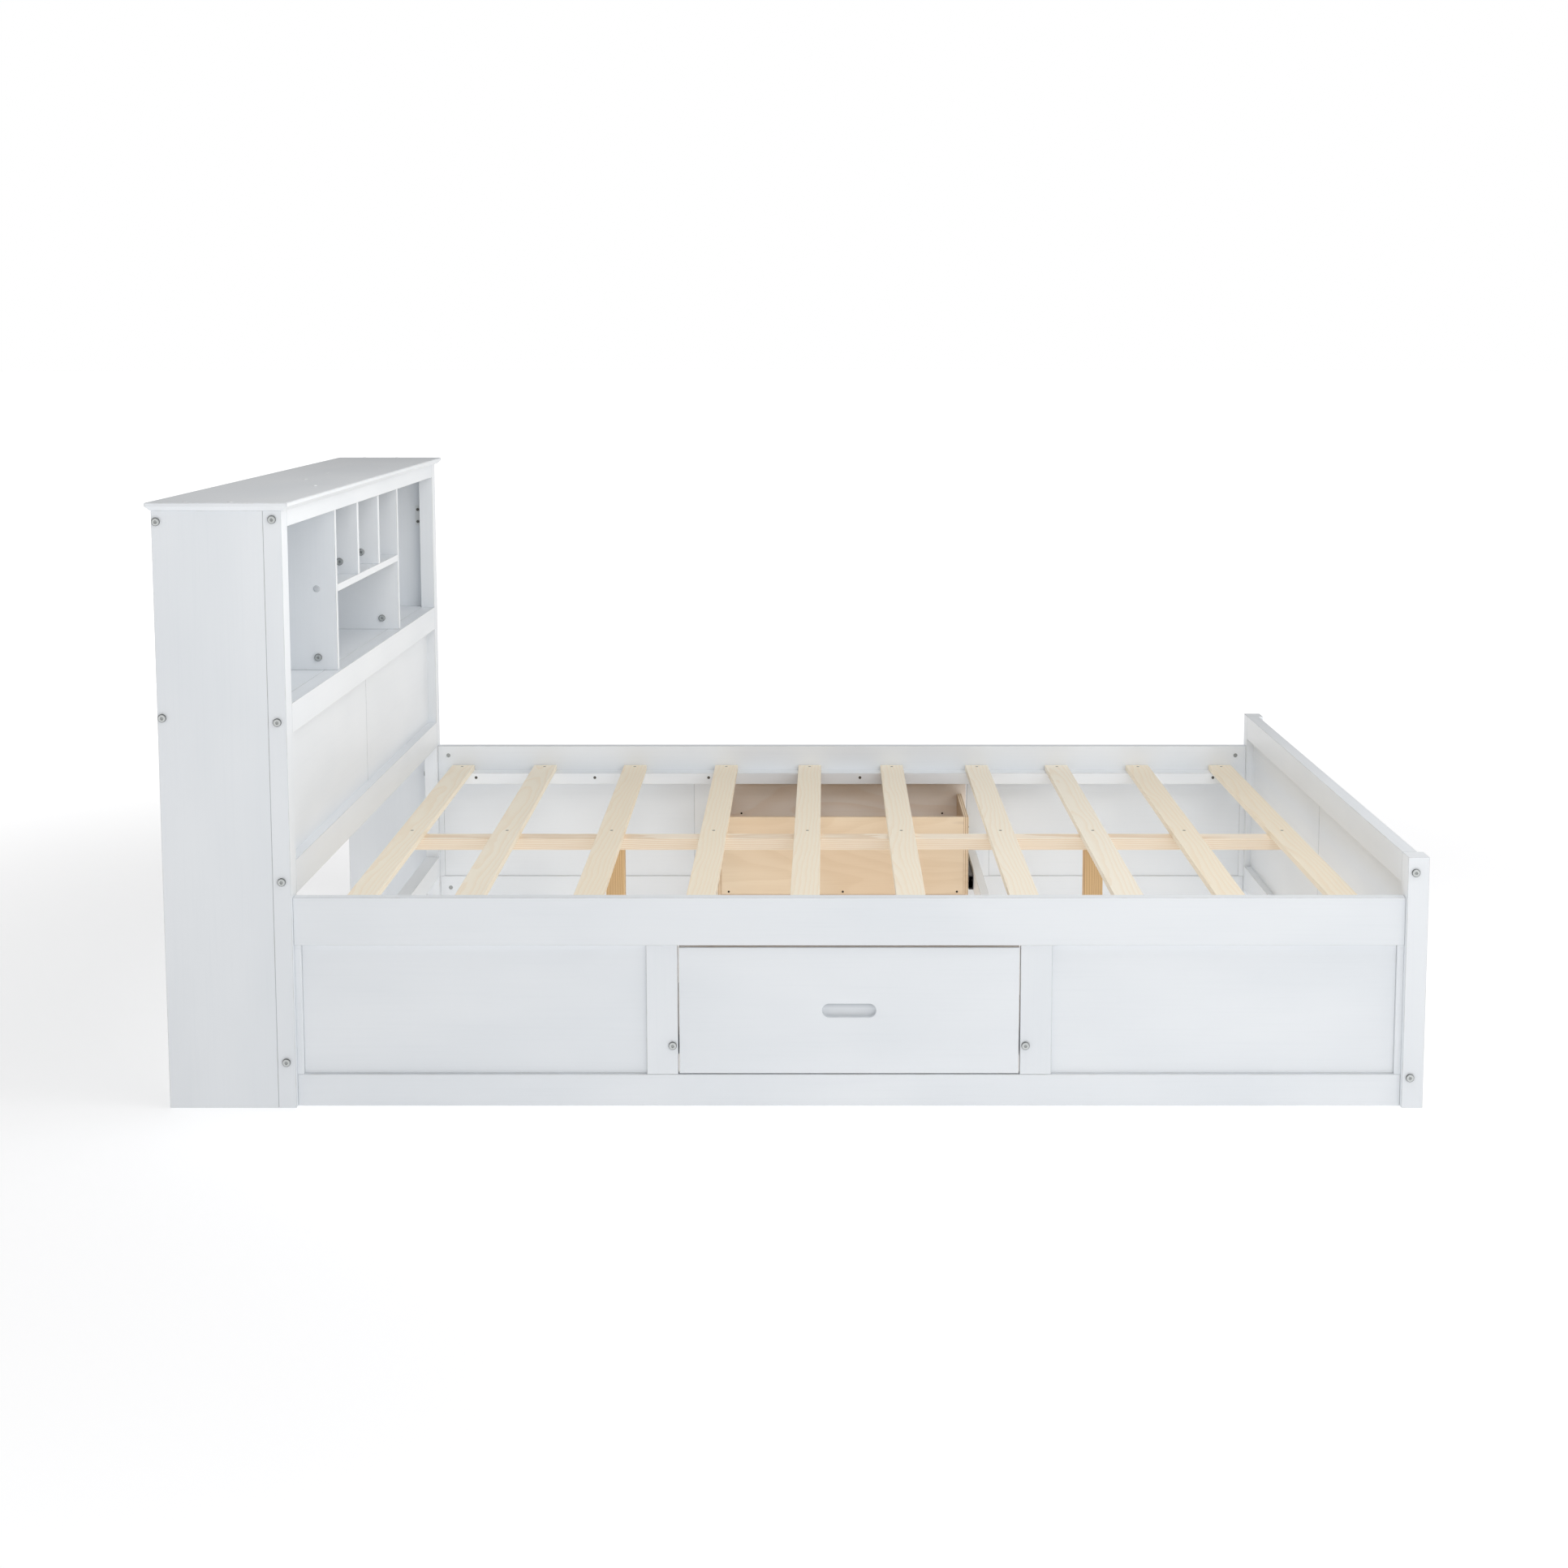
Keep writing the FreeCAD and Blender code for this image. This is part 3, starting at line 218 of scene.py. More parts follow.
def painted(node, single=True, bare=None, shaded=None):
    """Satin white paint on a board, rolled on, thin at its edges and with a trace of grain.

    A thin line of painted shade darkens the board's edges, where it meets its neighbours and the
    gaps between them are in shadow. bare is a function of the finish that gives the share of raw
    board that shows, and shaded one that gives the share of painted shade.
    """
    finish = Finish(f"white_paint_{node}", Roughness=0.4, Coat_Weight=0.12, Coat_Roughness=0.3)
    length, width, depth = along_grain(finish, node)
    grain = finish.noise(length * 5, width * 260, depth * 260, 3.0)
    roller = finish.noise(length * 420, width * 420, depth * 420, 2.0)
    cloud = finish.noise(length * 2.2, width * 5, depth * 5, 2.0)
    tone = finish.blend(cloud.rise(0.3, 0.75) * 0.8 + grain.rise(0.45, 0.8) * 0.2,
                        PAINT, PAINT_DEEP)
    if single:
        worn = finish.noise(length * 30, width * 90, depth * 90, 2.0)
        rub = edge_distance(finish, node).rise(2.2 * MM, 0.4 * MM) * worn.rise(0.35, 0.7)
        tone = finish.blend(rub * 0.55, tone, PAINT_THIN)
        # Painted shade: a thin dark line along every edge, standing for the shadow in the gaps
        # between boards.
        seam_shade = edge_distance(finish, node).rise(1.1 * MM, 0.3 * MM)
        tone = finish.blend(seam_shade * 0.42, tone, SEAM_SHADE)
    if bare:
        figure = (finish.noise(length * 1.1, width * 5.5, 4.2, 2.0, 0.4) * 15).part()
        raw = finish.blend(figure.rise(0.2, 0.85) * figure.rise(1.0, 0.9) * 0.3 + grain * 0.2,
                           colour(252, 245, 238), colour(236, 216, 196))
        tone = finish.blend(bare(finish), tone, raw)
    # Painted shade where the shaded function asks for it.
    if shaded:
        tone = finish.blend(shaded(finish), tone, SEAM_SHADE)
    finish.drive(Base_Color=tone, Roughness=0.36 + cloud * 0.08 + roller * 0.05,
                 Normal=finish.relief(roller * 0.6 + grain * 0.4, 0.12 * MM, 0.35))
    return finish


# --- bare wood --------------------------------------------------------------------------------

def fibres(finish, length, width, depth, fineness=1.0):
    """Fine streaks along the grain."""
    return finish.noise(length * 9, width * 900 * fineness, depth * 900 * fineness, 3.0, 0.6)


def growth_rings(finish, length, width, depth, pith, gap, wander):
    """Year rings cut by a board's faces.

    A point's distance from the tree's pith, which lies pith metres below the board and wanders
    along it, is counted in rings of one gap. Each ring darkens slowly and ends sharply.
    """
    drift = (finish.noise(length * 1.3, width * 3, depth * 3, 2.0) - 0.5) * wander
    ripple = (finish.noise(length * 9, width * 40, depth * 40, 2.0) - 0.5) * gap
    under = depth + pith + drift
    radius = (width * width + under * under).root() + ripple
    turn = (radius / gap).part()
    return turn.rise(0.35, 0.92) * turn.rise(1.0, 0.93)


def knots(finish, length, width, depth, share):
    """Small knots: 1 at a knot's heart, on only a share of the scattered points."""
    away = finish.spots(length * 2.6, width * 15, depth * 15)
    here = finish.noise(length * 2.6 + 31, width * 9, depth * 9, 0.0)
    return away.rise(0.16, 0.04) * here.rise(1 - share, 1 - share + 0.05)


SLAT_PITCHES = 9.35    # the slats' whole run, in steps from one slat to the next


def slat_wood():
    """Planed pale slats. Each one's grain is its own, found from its place along the bed.

    A slat's number, put through a fast sine, gives a share from 0 to 1 that looks like chance and
    is the same every time. It moves that slat's pith aside and tints it.
    """
    finish = Finish("slat_wood", Roughness=0.55)
    x, y, z = finish.place()
    low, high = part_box("bed_slats")
    pitch = (high[0] - low[0]) / SLAT_PITCHES
    number = ((x - low[0]) / pitch + 0.25).whole()
    chance = ((number * 12.9898 + 4.1).sine() * 43758.5453).part()
    width = x - low[0] - number * pitch + chance * 0.03 - 0.03
    length = y + number * 3.7
    depth = z - low[2]
    rings = growth_rings(finish, length, width, depth + chance * 0.02, 0.035, 5.5 * MM, 0.05)
    streak = fibres(finish, length, width, depth)
    knot = knots(finish, length, x, depth, 0.2)
    ground = finish.blend(chance, colour(255, 247, 230), colour(253, 240, 216))
    ringed = finish.blend(rings * 0.2, ground, colour(242, 208, 164))
    streaked = finish.blend(streak.rise(0.5, 0.85) * 0.18, ringed, colour(232, 202, 160))
    tone = finish.blend(knot * 0.7, streaked, colour(178, 138, 96))
    finish.drive(Base_Color=tone, Roughness=0.5 + streak * 0.15,
                 Normal=finish.relief(streak * 0.7 + rings * 0.3, 0.15 * MM, 0.5))
    return finish


def pine(name, axes, pith, gap, light, dark, contrast):
    """Bare pine with clear rings. axes says which of X, Y and Z run along, across and through."""
    finish = Finish(name, Roughness=0.55)
    place = finish.place()
    length, width, depth = (place[i] for i in axes)
    rings = growth_rings(finish, length, width, depth, pith, gap, 0.02)
    streak = fibres(finish, length, width, depth, 0.7)
    knot = knots(finish, length, width, depth, 0.3)
    ringed = finish.blend(rings * contrast, light, dark)
    streaked = finish.blend(streak.rise(0.5, 0.9) * 0.4, ringed, dark)
    tone = finish.blend(knot * 0.85, streaked, colour(128, 82, 48))
    finish.drive(Base_Color=tone, Roughness=0.48 + streak * 0.15,
                 Normal=finish.relief(streak * 0.5 + rings * 0.5, 0.2 * MM, 0.6))
    return finish


PLY = 2.4 * MM


def plywood(name, axes, face):
    """Sanded plywood: a peeled veneer's wide figure on its faces and its plies on its edges.

    axes says which of X, Y and Z run along, across and through. The plies are counted from face.
    """
    finish = Finish(name, Roughness=0.5, Coat_Weight=0.08, Coat_Roughness=0.35)
    place = finish.place()
    length, width, depth = (place[i] for i in axes)
    hills = finish.noise(length * 1.1 + 3, width * 5.5, 4.2, 2.0, 0.4)
    figure = (hills * 17).part()
    band = figure.rise(0.2, 0.85) * figure.rise(1.0, 0.9)
    streak = fibres(finish, length, width, depth, 0.8)
    patch = finish.noise(length * 2.4, width * 3.1, 9.0, 1.0)
    ply = ((depth - face) / PLY * 0.5 + 0.02).part()
    across = ply.rise(0.48, 0.52) * ply.rise(1.0, 0.97)
    knot = knots(finish, length, width, face, 0.3)
    ground = finish.blend(patch.rise(0.35, 0.7), colour(240, 221, 194), colour(232, 208, 178))
    figured = finish.blend(band * 0.14, ground, colour(208, 176, 136))
    streaked = finish.blend(streak.rise(0.5, 0.9) * 0.3, figured, colour(200, 166, 126))
    plied = finish.blend(across * 0.6, streaked, colour(166, 126, 84))
    tone = finish.blend(knot * 0.7, plied, colour(134, 92, 56))
    finish.drive(Base_Color=tone, Roughness=0.44 + streak * 0.14,
                 Normal=finish.relief(streak, 0.1 * MM, 0.4))
    return finish


# --- metal and plastic ------------------------------------------------------------------------

def steel(name, shade, worn, roughness, metallic=1.0):
    """Plated steel: even, with a fine crystal mottle and duller smears."""
    finish = Finish(name, Metallic=metallic)
    x, y, z = finish.place()
    mottle = finish.noise(x * 900, y * 900, z * 900, 2.0)
    smear = finish.noise(x * 60, y * 60, z * 60, 2.0)
    finish.drive(Base_Color=finish.blend(mottle.rise(0.35, 0.7) * 0.5 + smear * 0.3, shade, worn),
                 Roughness=roughness + smear * 0.16,
                 Normal=finish.relief(mottle, 0.05 * MM, 0.3))
    return finish


def plastic(name, shade):
    """Moulded plastic with a fine spark-eroded grain."""
    finish = Finish(name, Roughness=0.4)
    x, y, z = finish.place()
    grain = finish.noise(x * 1500, y * 1500, z * 1500, 1.0)
    cloud = finish.noise(x * 80, y * 80, z * 80, 1.0)
    finish.drive(Base_Color=finish.blend(cloud.rise(0.3, 0.7) * 0.3, shade, colour(180, 184, 188)),
                 Roughness=0.38 + grain * 0.12, Normal=finish.relief(grain, 0.04 * MM, 0.3))
    return finish


# --- shapes -----------------------------------------------------------------------------------

SHARP_EDGE = math.radians(35)


def grid_faces(rows, columns):
    """Quads between the neighbours of a grid whose rows are closed loops, and its two end caps."""
    numbers = np.arange(rows * columns).reshape(rows, columns)
    ring = np.hstack([numbers, numbers[:, :1]])
    quads = np.stack([ring[:-1, :-1], ring[:-1, 1:], ring[1:, 1:], ring[1:, :-1]], -1)
    return quads.reshape(-1, 4), np.stack([numbers[0, ::-1], numbers[-1]])


def enclosed(points, faces):
    """Six times the space between faces and the origin: all of a closed skin's faces together
    give less than nothing where they point inwards."""
    corners = points[faces]
    return np.sum(np.cross(corners[:, 1:-1], corners[:, 2:]) * corners[:, :1])


def piece(name, skins, body, slot, finish, shade_marks=None):
    """A piece made of closed skins. Each skin is an array of loops of points, [loop][around].

    marks gives each loop of a skin one number, here a share of painted shade, which the finish
    reads as the attribute mark.
    """
    points, faces, start = [], [], 0
    for skin in skins:
        flat = skin.reshape(-1, 3)
        blocks = grid_faces(*skin.shape[:2])
        turn = -1 if sum(enclosed(flat, block) for block in blocks) < 0 else 1
        for block in blocks:
            faces += (start + block[:, ::turn]).tolist()
        points.append(flat)
        start += len(flat)
    mesh = bpy.data.meshes.new(name)
    mesh.from_pydata(np.vstack(points).tolist(), [], faces)
    if shade_marks is not None:
        around = skins[0].shape[1]
        mesh.attributes.new("shade_mark", "FLOAT", "POINT").data.foreach_set(
            "value", np.tile(np.repeat(shade_marks, around), len(skins)).astype(np.float32))
    mesh.validate()
    mesh.shade_smooth()
    mesh.set_sharp_from_angle(angle=SHARP_EDGE)
    made = bpy.data.objects.new(name, mesh)
    bpy.context.scene.collection.objects.link(made)
    dress(made, finish)
    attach(made, body)
    return made


def quarter(steps, radius):
    """A quarter round as (in, down) pairs: from (0, radius) on the flank to (radius, 0) on top."""
    turn = np.linspace(0, math.pi / 2, steps)
    return radius * (1 - np.cos(turn)), radius * (1 - np.sin(turn))


def turned(profile, place, direction, around):
    """Skin of a turned shape: a profile of (radius, height) spun about a direction at a place."""
    towards = np.array(direction, float)
    aside = np.cross(towards, (0, 0, 1) if abs(towards[2]) < 0.9 else (1, 0, 0))
    aside /= np.linalg.norm(aside)
    third = np.cross(towards, aside)
    turn = np.linspace(0, 2 * math.pi, around, endpoint=False)
    ring = np.cos(turn)[:, None] * aside + np.sin(turn)[:, None] * third
    radius, height = np.array(profile, float).T
    return np.array(place) + radius[:, None, None] * ring + height[:, None, None] * towards


SUNK = 0.3 * MM    # how far a screw's or cover's rim goes into the face below it


def pan_head(place, direction, radius):
    """Skin of a pan-head screw: a dome with a cross recess pressed into it.

    The height falls as the square of the distance from the middle. Inside a cross, where either
    distance across is small, it drops to a flat floor.
    """
    rise, fall, arm, reach, sunk = 0.55, 0.6, 0.14, 0.6, 0.28
    around = 32
    shares = np.array([1.0, 1.0, 0.97, 0.88, 0.72, 0.56, 0.40, 0.24, 0.1])[:, None]
    flat = turned([(radius * share, 0.0) for share in shares[:, 0]], place, direction, around)
    turn = np.linspace(0, 2 * math.pi, around, endpoint=False)
    across, beside = shares * np.abs(np.cos(turn)), shares * np.abs(np.sin(turn))
    dome = rise * (1 - fall * shares ** 2)
    cross = (np.minimum(across, beside) < arm) & (shares < reach)
    height = np.where(cross, dome - sunk, dome) * radius
    height[0] = -SUNK
    return flat + height[..., None] * np.array(direction, float)


# --- studio -----------------------------------------------------------------------------------

def studio():
    """A pale floor that runs out to a white sky, and three soft boxes round the bed.

    The floor glows a little more the farther it is from the bed, up to the sky's own white, so
    that no horizon shows. The sky lights the bed less from overhead than from its sides.
    """
    gap = 1 * MM    # between the bed's feet and the floor
    turn = np.linspace(0, 2 * math.pi, 96, endpoint=False)
    reach = np.array([0.0, 1.5, 3, 6, 12, 40, 120])[:, None]
    points = np.stack([reach * np.cos(turn), reach * np.sin(turn), reach * 0 * turn - gap], -1)
    quads, _ = grid_faces(*points.shape[:2])
    mesh = bpy.data.meshes.new("studio_floor")
    mesh.from_pydata(points.reshape(-1, 3).tolist(), [], quads[:, ::-1].tolist())
    floor = bpy.data.objects.new("studio_floor", mesh)
    bpy.context.scene.collection.objects.link(floor)
    paper = Finish("studio_floor", Roughness=0.9)
    paper.shader.inputs["Specular IOR Level"].default_value = 0.1
    paper.shader.inputs["Base Color"].default_value = colour(232, 232, 233)
    paper.shader.inputs["Emission Strength"].default_value = 1.0
    x, y, _ = paper.place()
    near, far, least = 1.3, 5.0, 0.46
    glow = (x * x + y * y).root().rise(near, far) * least + least
    paper.drive(Emission_Color=paper.blend(glow, (0, 0, 0, 1), (1, 1, 1, 1)))
    dress(floor, paper)

    world = bpy.data.worlds.new("studio")
    world.use_nodes = True
    tree = world.node_tree
    sky = tree.nodes["Background"]
    sky.inputs["Color"].default_value = (1.0, 1.0, 1.0, 1.0)
    seen = tree.nodes.new("ShaderNodeLightPath")
    height = tree.nodes.new("ShaderNodeSeparateXYZ")
    point = tree.nodes.new("ShaderNodeTexCoord")
    fade = tree.nodes.new("ShaderNodeMapRange")
    fade.inputs["From Min"].default_value, fade.inputs["From Max"].default_value = 0.1, 0.9
    fade.inputs["To Min"].default_value, fade.inputs["To Max"].default_value = 0.56, 0.34
    tree.links.new(point.outputs["Generated"], height.inputs[0])
    tree.links.new(height.outputs["Z"], fade.inputs["Value"])
    shown = tree.nodes.new("ShaderNodeMix")
    tree.links.new(seen.outputs["Is Camera Ray"], shown.inputs[0])
    tree.links.new(fade.outputs["Result"], shown.inputs[2])
    shown.inputs[3].default_value = 1.0
    tree.links.new(shown.outputs[0], sky.inputs["Strength"])
    bpy.context.scene.world = world

    soft_box("top_light", (0.6, -0.7, 2.2), (0.5, 0.3, 0.2), 2.4, 22)
    soft_box("front_light", (2.0, -3.8, 1.7), (0.6, 0.0, 0.4), 2.0, 13)
    soft_box("shelf_light", (2.6, -1.4, 1.7), (-1.0, 0.3, 0.9), 1.4, 6)


def soft_box(name, place, target, width, watts):
    """An oblong area light at a place, turned to face a target, that isn't seen itself."""
    light = bpy.data.lights.new(name, "AREA")
    light.shape, light.size, light.size_y = "RECTANGLE", width, width * 0.7
    light.energy = watts
    lamp = bpy.data.objects.new(name, light)
    bpy.context.scene.collection.objects.link(lamp)
    lamp.visible_camera = False
    aim = np.array(place) - np.array(target)
    lamp.location = place
    lamp.rotation_euler = (math.atan2(math.hypot(aim[0], aim[1]), aim[2]), 0,
                           math.atan2(aim[0], -aim[1]))


def camera():
    """The camera stands off the left side, a little above the headboard, and looks down on it."""
    lens = bpy.data.cameras.new("camera")
    lens.sensor_width, lens.lens = 36.0, 51.38
    lens.shift_x, lens.shift_y = -0.02446, -0.11995
    below_level = 0.1116    # radians
    viewer = bpy.data.objects.new("camera", lens)
    bpy.context.scene.collection.objects.link(viewer)
    viewer.location = (0.0506, -4.8085, 1.402)
    viewer.rotation_euler = (math.pi / 2 - below_level, 0, 0)
    bpy.context.scene.camera = viewer


# --- dressing the bed's own nodes -------------------------------------------------------------

# Boards left bare, and how each is made. A node of several boards has no one box to find its
# boards' edges from.
BARE = {
    "bed_slats": slat_wood,
    "center_beam": lambda: pine("beam_pine", (0, 1, 2), 0.022, 4.2 * MM, colour(253, 239, 219),
                                colour(226, 192, 152), 0.5),
    "center_legs": lambda: pine("leg_pine", (2, 0, 1), 0.06, 3.4 * MM, colour(230, 198, 150),
                                colour(180, 130, 78), 0.8),
}
GROUPED = ("cubby_dividers", "panel_end_strips")


def dress_nodes():
    """Gives every node of the bed the finish of what it is made of."""
    zinc = steel("zinc_steel", colour(176, 178, 176), colour(150, 152, 152), 0.3)
    dark = steel("slide_steel", colour(88, 88, 90), colour(60, 60, 62), 0.3)
    brace = steel("brace_steel", colour(236, 238, 238), colour(214, 216, 216), 0.4, 0.4)
    screw = steel("screw_steel", colour(118, 116, 112), colour(86, 84, 80), 0.3)
    for name, node in NODES.items():
        low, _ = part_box(name)
        if name in BARE:
            finish = BARE[name]()
        elif name in ("frame_bolts", "barrel_nuts"):
            finish = zinc
        elif name == "corner_braces":
            finish = brace
        elif name == "wood_screws":
            finish = screw
        elif name == "slide_channels" or name.endswith("_runners"):
            finish = dark
        elif name.endswith("_sides"):
            finish = plywood(f"plywood_{name}", (1, 2, 0), low[0])
        elif name.endswith("_back") and name.startswith("drawer"):
            finish = plywood(f"plywood_{name}", (0, 2, 1), low[1])
        elif name.endswith("_bottom"):
            finish = plywood(f"plywood_{name}", (0, 1, 2), low[2])
        else:
            finish = painted(name, name not in GROUPED)
        dress(node, finish)


# --- pieces that stand for a plainer node, or that only show ----------------------------------

def drawer_front(side, sign):
    """A painted front with a finger slot routed into it.

    Loops run round the slot's middle line, a straight length with a turn at each end. From the
    slot's floor they rise up a coved wall and over a rounded lip, spread out to the front's edge,
    round it to the back and close there.
    """
    low, high = (np.array(corner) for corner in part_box(f"drawer_{side}_front"))
    middle = (low + high) / 2
    half_width, half_height = (high[0] - low[0]) / 2, (high[2] - low[2]) / 2
    thickness = high[1] - low[1]
    radius, reach, depth, cove, lip, ease = np.array([13, 37, 11, 3.0, 1.1, 1.2]) * MM
    corner = math.atan2(half_height, half_width - reach)
    bend = np.sort(np.append(np.linspace(-math.pi / 2, math.pi / 2, 25), [-corner, corner]))
    run = np.linspace(-reach, reach, 14)[1:-1]
    level, end = np.full(run.shape, math.pi / 2), np.full(bend.shape, reach)
    around = np.concatenate([bend, level, math.pi - bend[::-1], -level])
    core = np.concatenate([end, run[::-1], -end, run])
    out = np.stack([np.cos(around), np.sin(around)], -1)
    base = np.stack([core, 0 * core], -1)
    scale = np.minimum((half_width - np.abs(core)) / np.maximum(np.abs(out[:, 0]), 1e-9),
                       half_height / np.maximum(np.abs(out[:, 1]), 1e-9))
    rim = base + out * scale[:, None]

    def slot_loop(spread, down):
        """The middle line swollen by spread, at a depth below the front's face."""
        return np.concatenate([base + out * spread, np.full((len(base), 1), down)], -1)

    def edge_loop(inset, down):
        """The front's outline drawn in by inset, at a depth."""
        shrink = 1 - inset / np.array([half_width, half_height])
        return np.concatenate([rim * shrink, np.full((len(base), 1), down)], -1)

    loops = [slot_loop(radius * share, depth) for share in (0.02, 0.35)]
    for back, _ in zip(*quarter(6, cove)):
        loops.append(slot_loop(radius - cove + cove * math.sin(math.acos(1 - back / cove)),
                               depth - back))
    for inward, down in zip(*quarter(6, lip)):
        loops.append(slot_loop(radius + inward, down))
    first, last = loops[-1], edge_loop(ease, 0.0)
    loops += [first + (last - first) * share for share in (0.12, 0.35, 0.65)]
    for inset, down in zip(*(side_of[::-1] for side_of in quarter(5, ease))):
        loops.append(edge_loop(inset, down))
    for inset, down in zip(*quarter(5, ease)):
        loops.append(edge_loop(inset, thickness - down))
    loops += [slot_loop(radius * share, thickness) for share in (1, 0.02)]
    flat = np.array(loops)
    face = low[1] if sign < 0 else high[1]
    skin = np.stack([middle[0] + flat[..., 0], face - sign * flat[..., 2],
                     middle[2] + flat[..., 1]], -1)

    def raw_edges(finish):
        """The back, where the roller's overspray ends raggedly, and the top edge."""
        x, y, z = finish.place()
        inward = (y - face) * -sign
        ragged = finish.noise(z * 60, y * 60, x * 60) * 4 * MM
        back = (inward + ragged).rise(thickness - 3 * MM, thickness + 0.5 * MM)
        top = (z - high[2]).rise(-1.0 * MM, -0.3 * MM) * (inward - ragged).rise(0, 3 * MM)
        return back.most(top)

    def slot_painted_shade(finish):
        """Painted shade on the slot's upper wall, which faces down and is in shadow inside the
        slot.

        It ends above the slot, beyond its ends and at its floor, and grows from its middle up.
        """
        x, y, z = finish.place()
        inward, up, aside = (y - face) * -sign, z - middle[2], x - middle[0]
        beyond, end = 0.0032, 0.0030    # squares of distances along the slot, in square metres
        inside = up.rise(16 * MM, 14.5 * MM) * (aside * aside).rise(beyond, end)
        deep = inward.rise(0.3 * MM, 1.6 * MM) * inward.rise(12.5 * MM, 12 * MM)
        return inside * deep * (up.rise(0, 12 * MM) * 0.5 + 0.06)

    made = piece(f"drawer_front_{side}", [skin], f"drawer_{side}", "white_paint",
                 painted(f"drawer_{side}_front", bare=raw_edges, shaded=slot_painted_shade))
    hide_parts(f"drawer_{side}_front")


def covers():
    """Press-in plastic caps over the screws of the cap board and of the small shelf."""
    brace_width, inset, shelf_inset, row_step = np.array([12, 60, 47, 70]) * MM
    shelf_low, shelf_high = (np.array(corner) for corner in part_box("cubby_shelf"))
    row_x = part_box("corner_braces")[1][0] - brace_width
    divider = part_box("bookcase_divider_right")
    board = divider[1][1] - divider[0][1]
    dome = [(7.0, -0.3), (7.0, 0.2), (6.6, 0.8), (5.6, 1.3), (3.6, 1.65), (1.6, 1.8), (0.1, 1.85)]
    dome = [(radius * MM, height * MM) for radius, height in dome]
    grey = plastic("cover_plastic", colour(204, 208, 212))
    skins = []
    for _, sign in SIDES:
        for x in (row_x, shelf_low[0] + shelf_inset):
            face = sign * (shelf_high[1] + board)
            spot = (x, face, (shelf_low[2] + shelf_high[2]) / 2)
            skins.append(turned(dome, spot, (0, sign, 0), 32))
    piece("shelf_screw_covers", skins, "bed_frame", "white_paint", grey)
    narrower, flatter = 0.65, 0.7
    small = [(radius * narrower, height * flatter) for radius, height in dome]
    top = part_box("headboard_cap")[1][2]
    side_low, side_high = (np.array(corner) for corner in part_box("headboard_side_left"))
    tall_y = (divider[0][1] + divider[1][1]) / 2
    short_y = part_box("cubby_dividers")[1][1] - board / 2
    side_y = -(side_low[1] + side_high[1]) / 2
    spots = [(row_x, tall_y), (row_x - row_step, short_y),
             (side_low[0] + inset, side_y), (side_high[0] - inset, side_y)]
    white = plastic("cap_cover_plastic", colour(240, 241, 242))
    piece("cap_screw_covers",
          [turned(small, (x, sign * y, top), (0, 0, 1), 24) for x, y in spots
           for _, sign in SIDES], "bed_frame", "white_paint", white)


def separate(node):
    """The corner points of each separate solid in a node, found by following its edges."""
    mesh = node.data
    points = np.empty(len(mesh.vertices) * 3)
    mesh.vertices.foreach_get("co", points)
    turn = np.array(node.matrix_world)
    points = points.reshape(-1, 3) @ turn[:3, :3].T + turn[:3, 3]
    ends = np.empty(len(mesh.edges) * 2, int)
    mesh.edges.foreach_get("vertices", ends)
    points, same = np.unique(np.round(points, 6), axis=0, return_inverse=True)
    ends = same.reshape(-1)[ends].reshape(-1, 2)
    group, before = np.arange(len(points)), None
    while before is None or (group != before).any():
        before = group.copy()
        for one, other in (ends.T, ends.T[::-1]):
            np.minimum.at(group, one, before[other])
    return [points[group == number] for number in np.unique(group)]


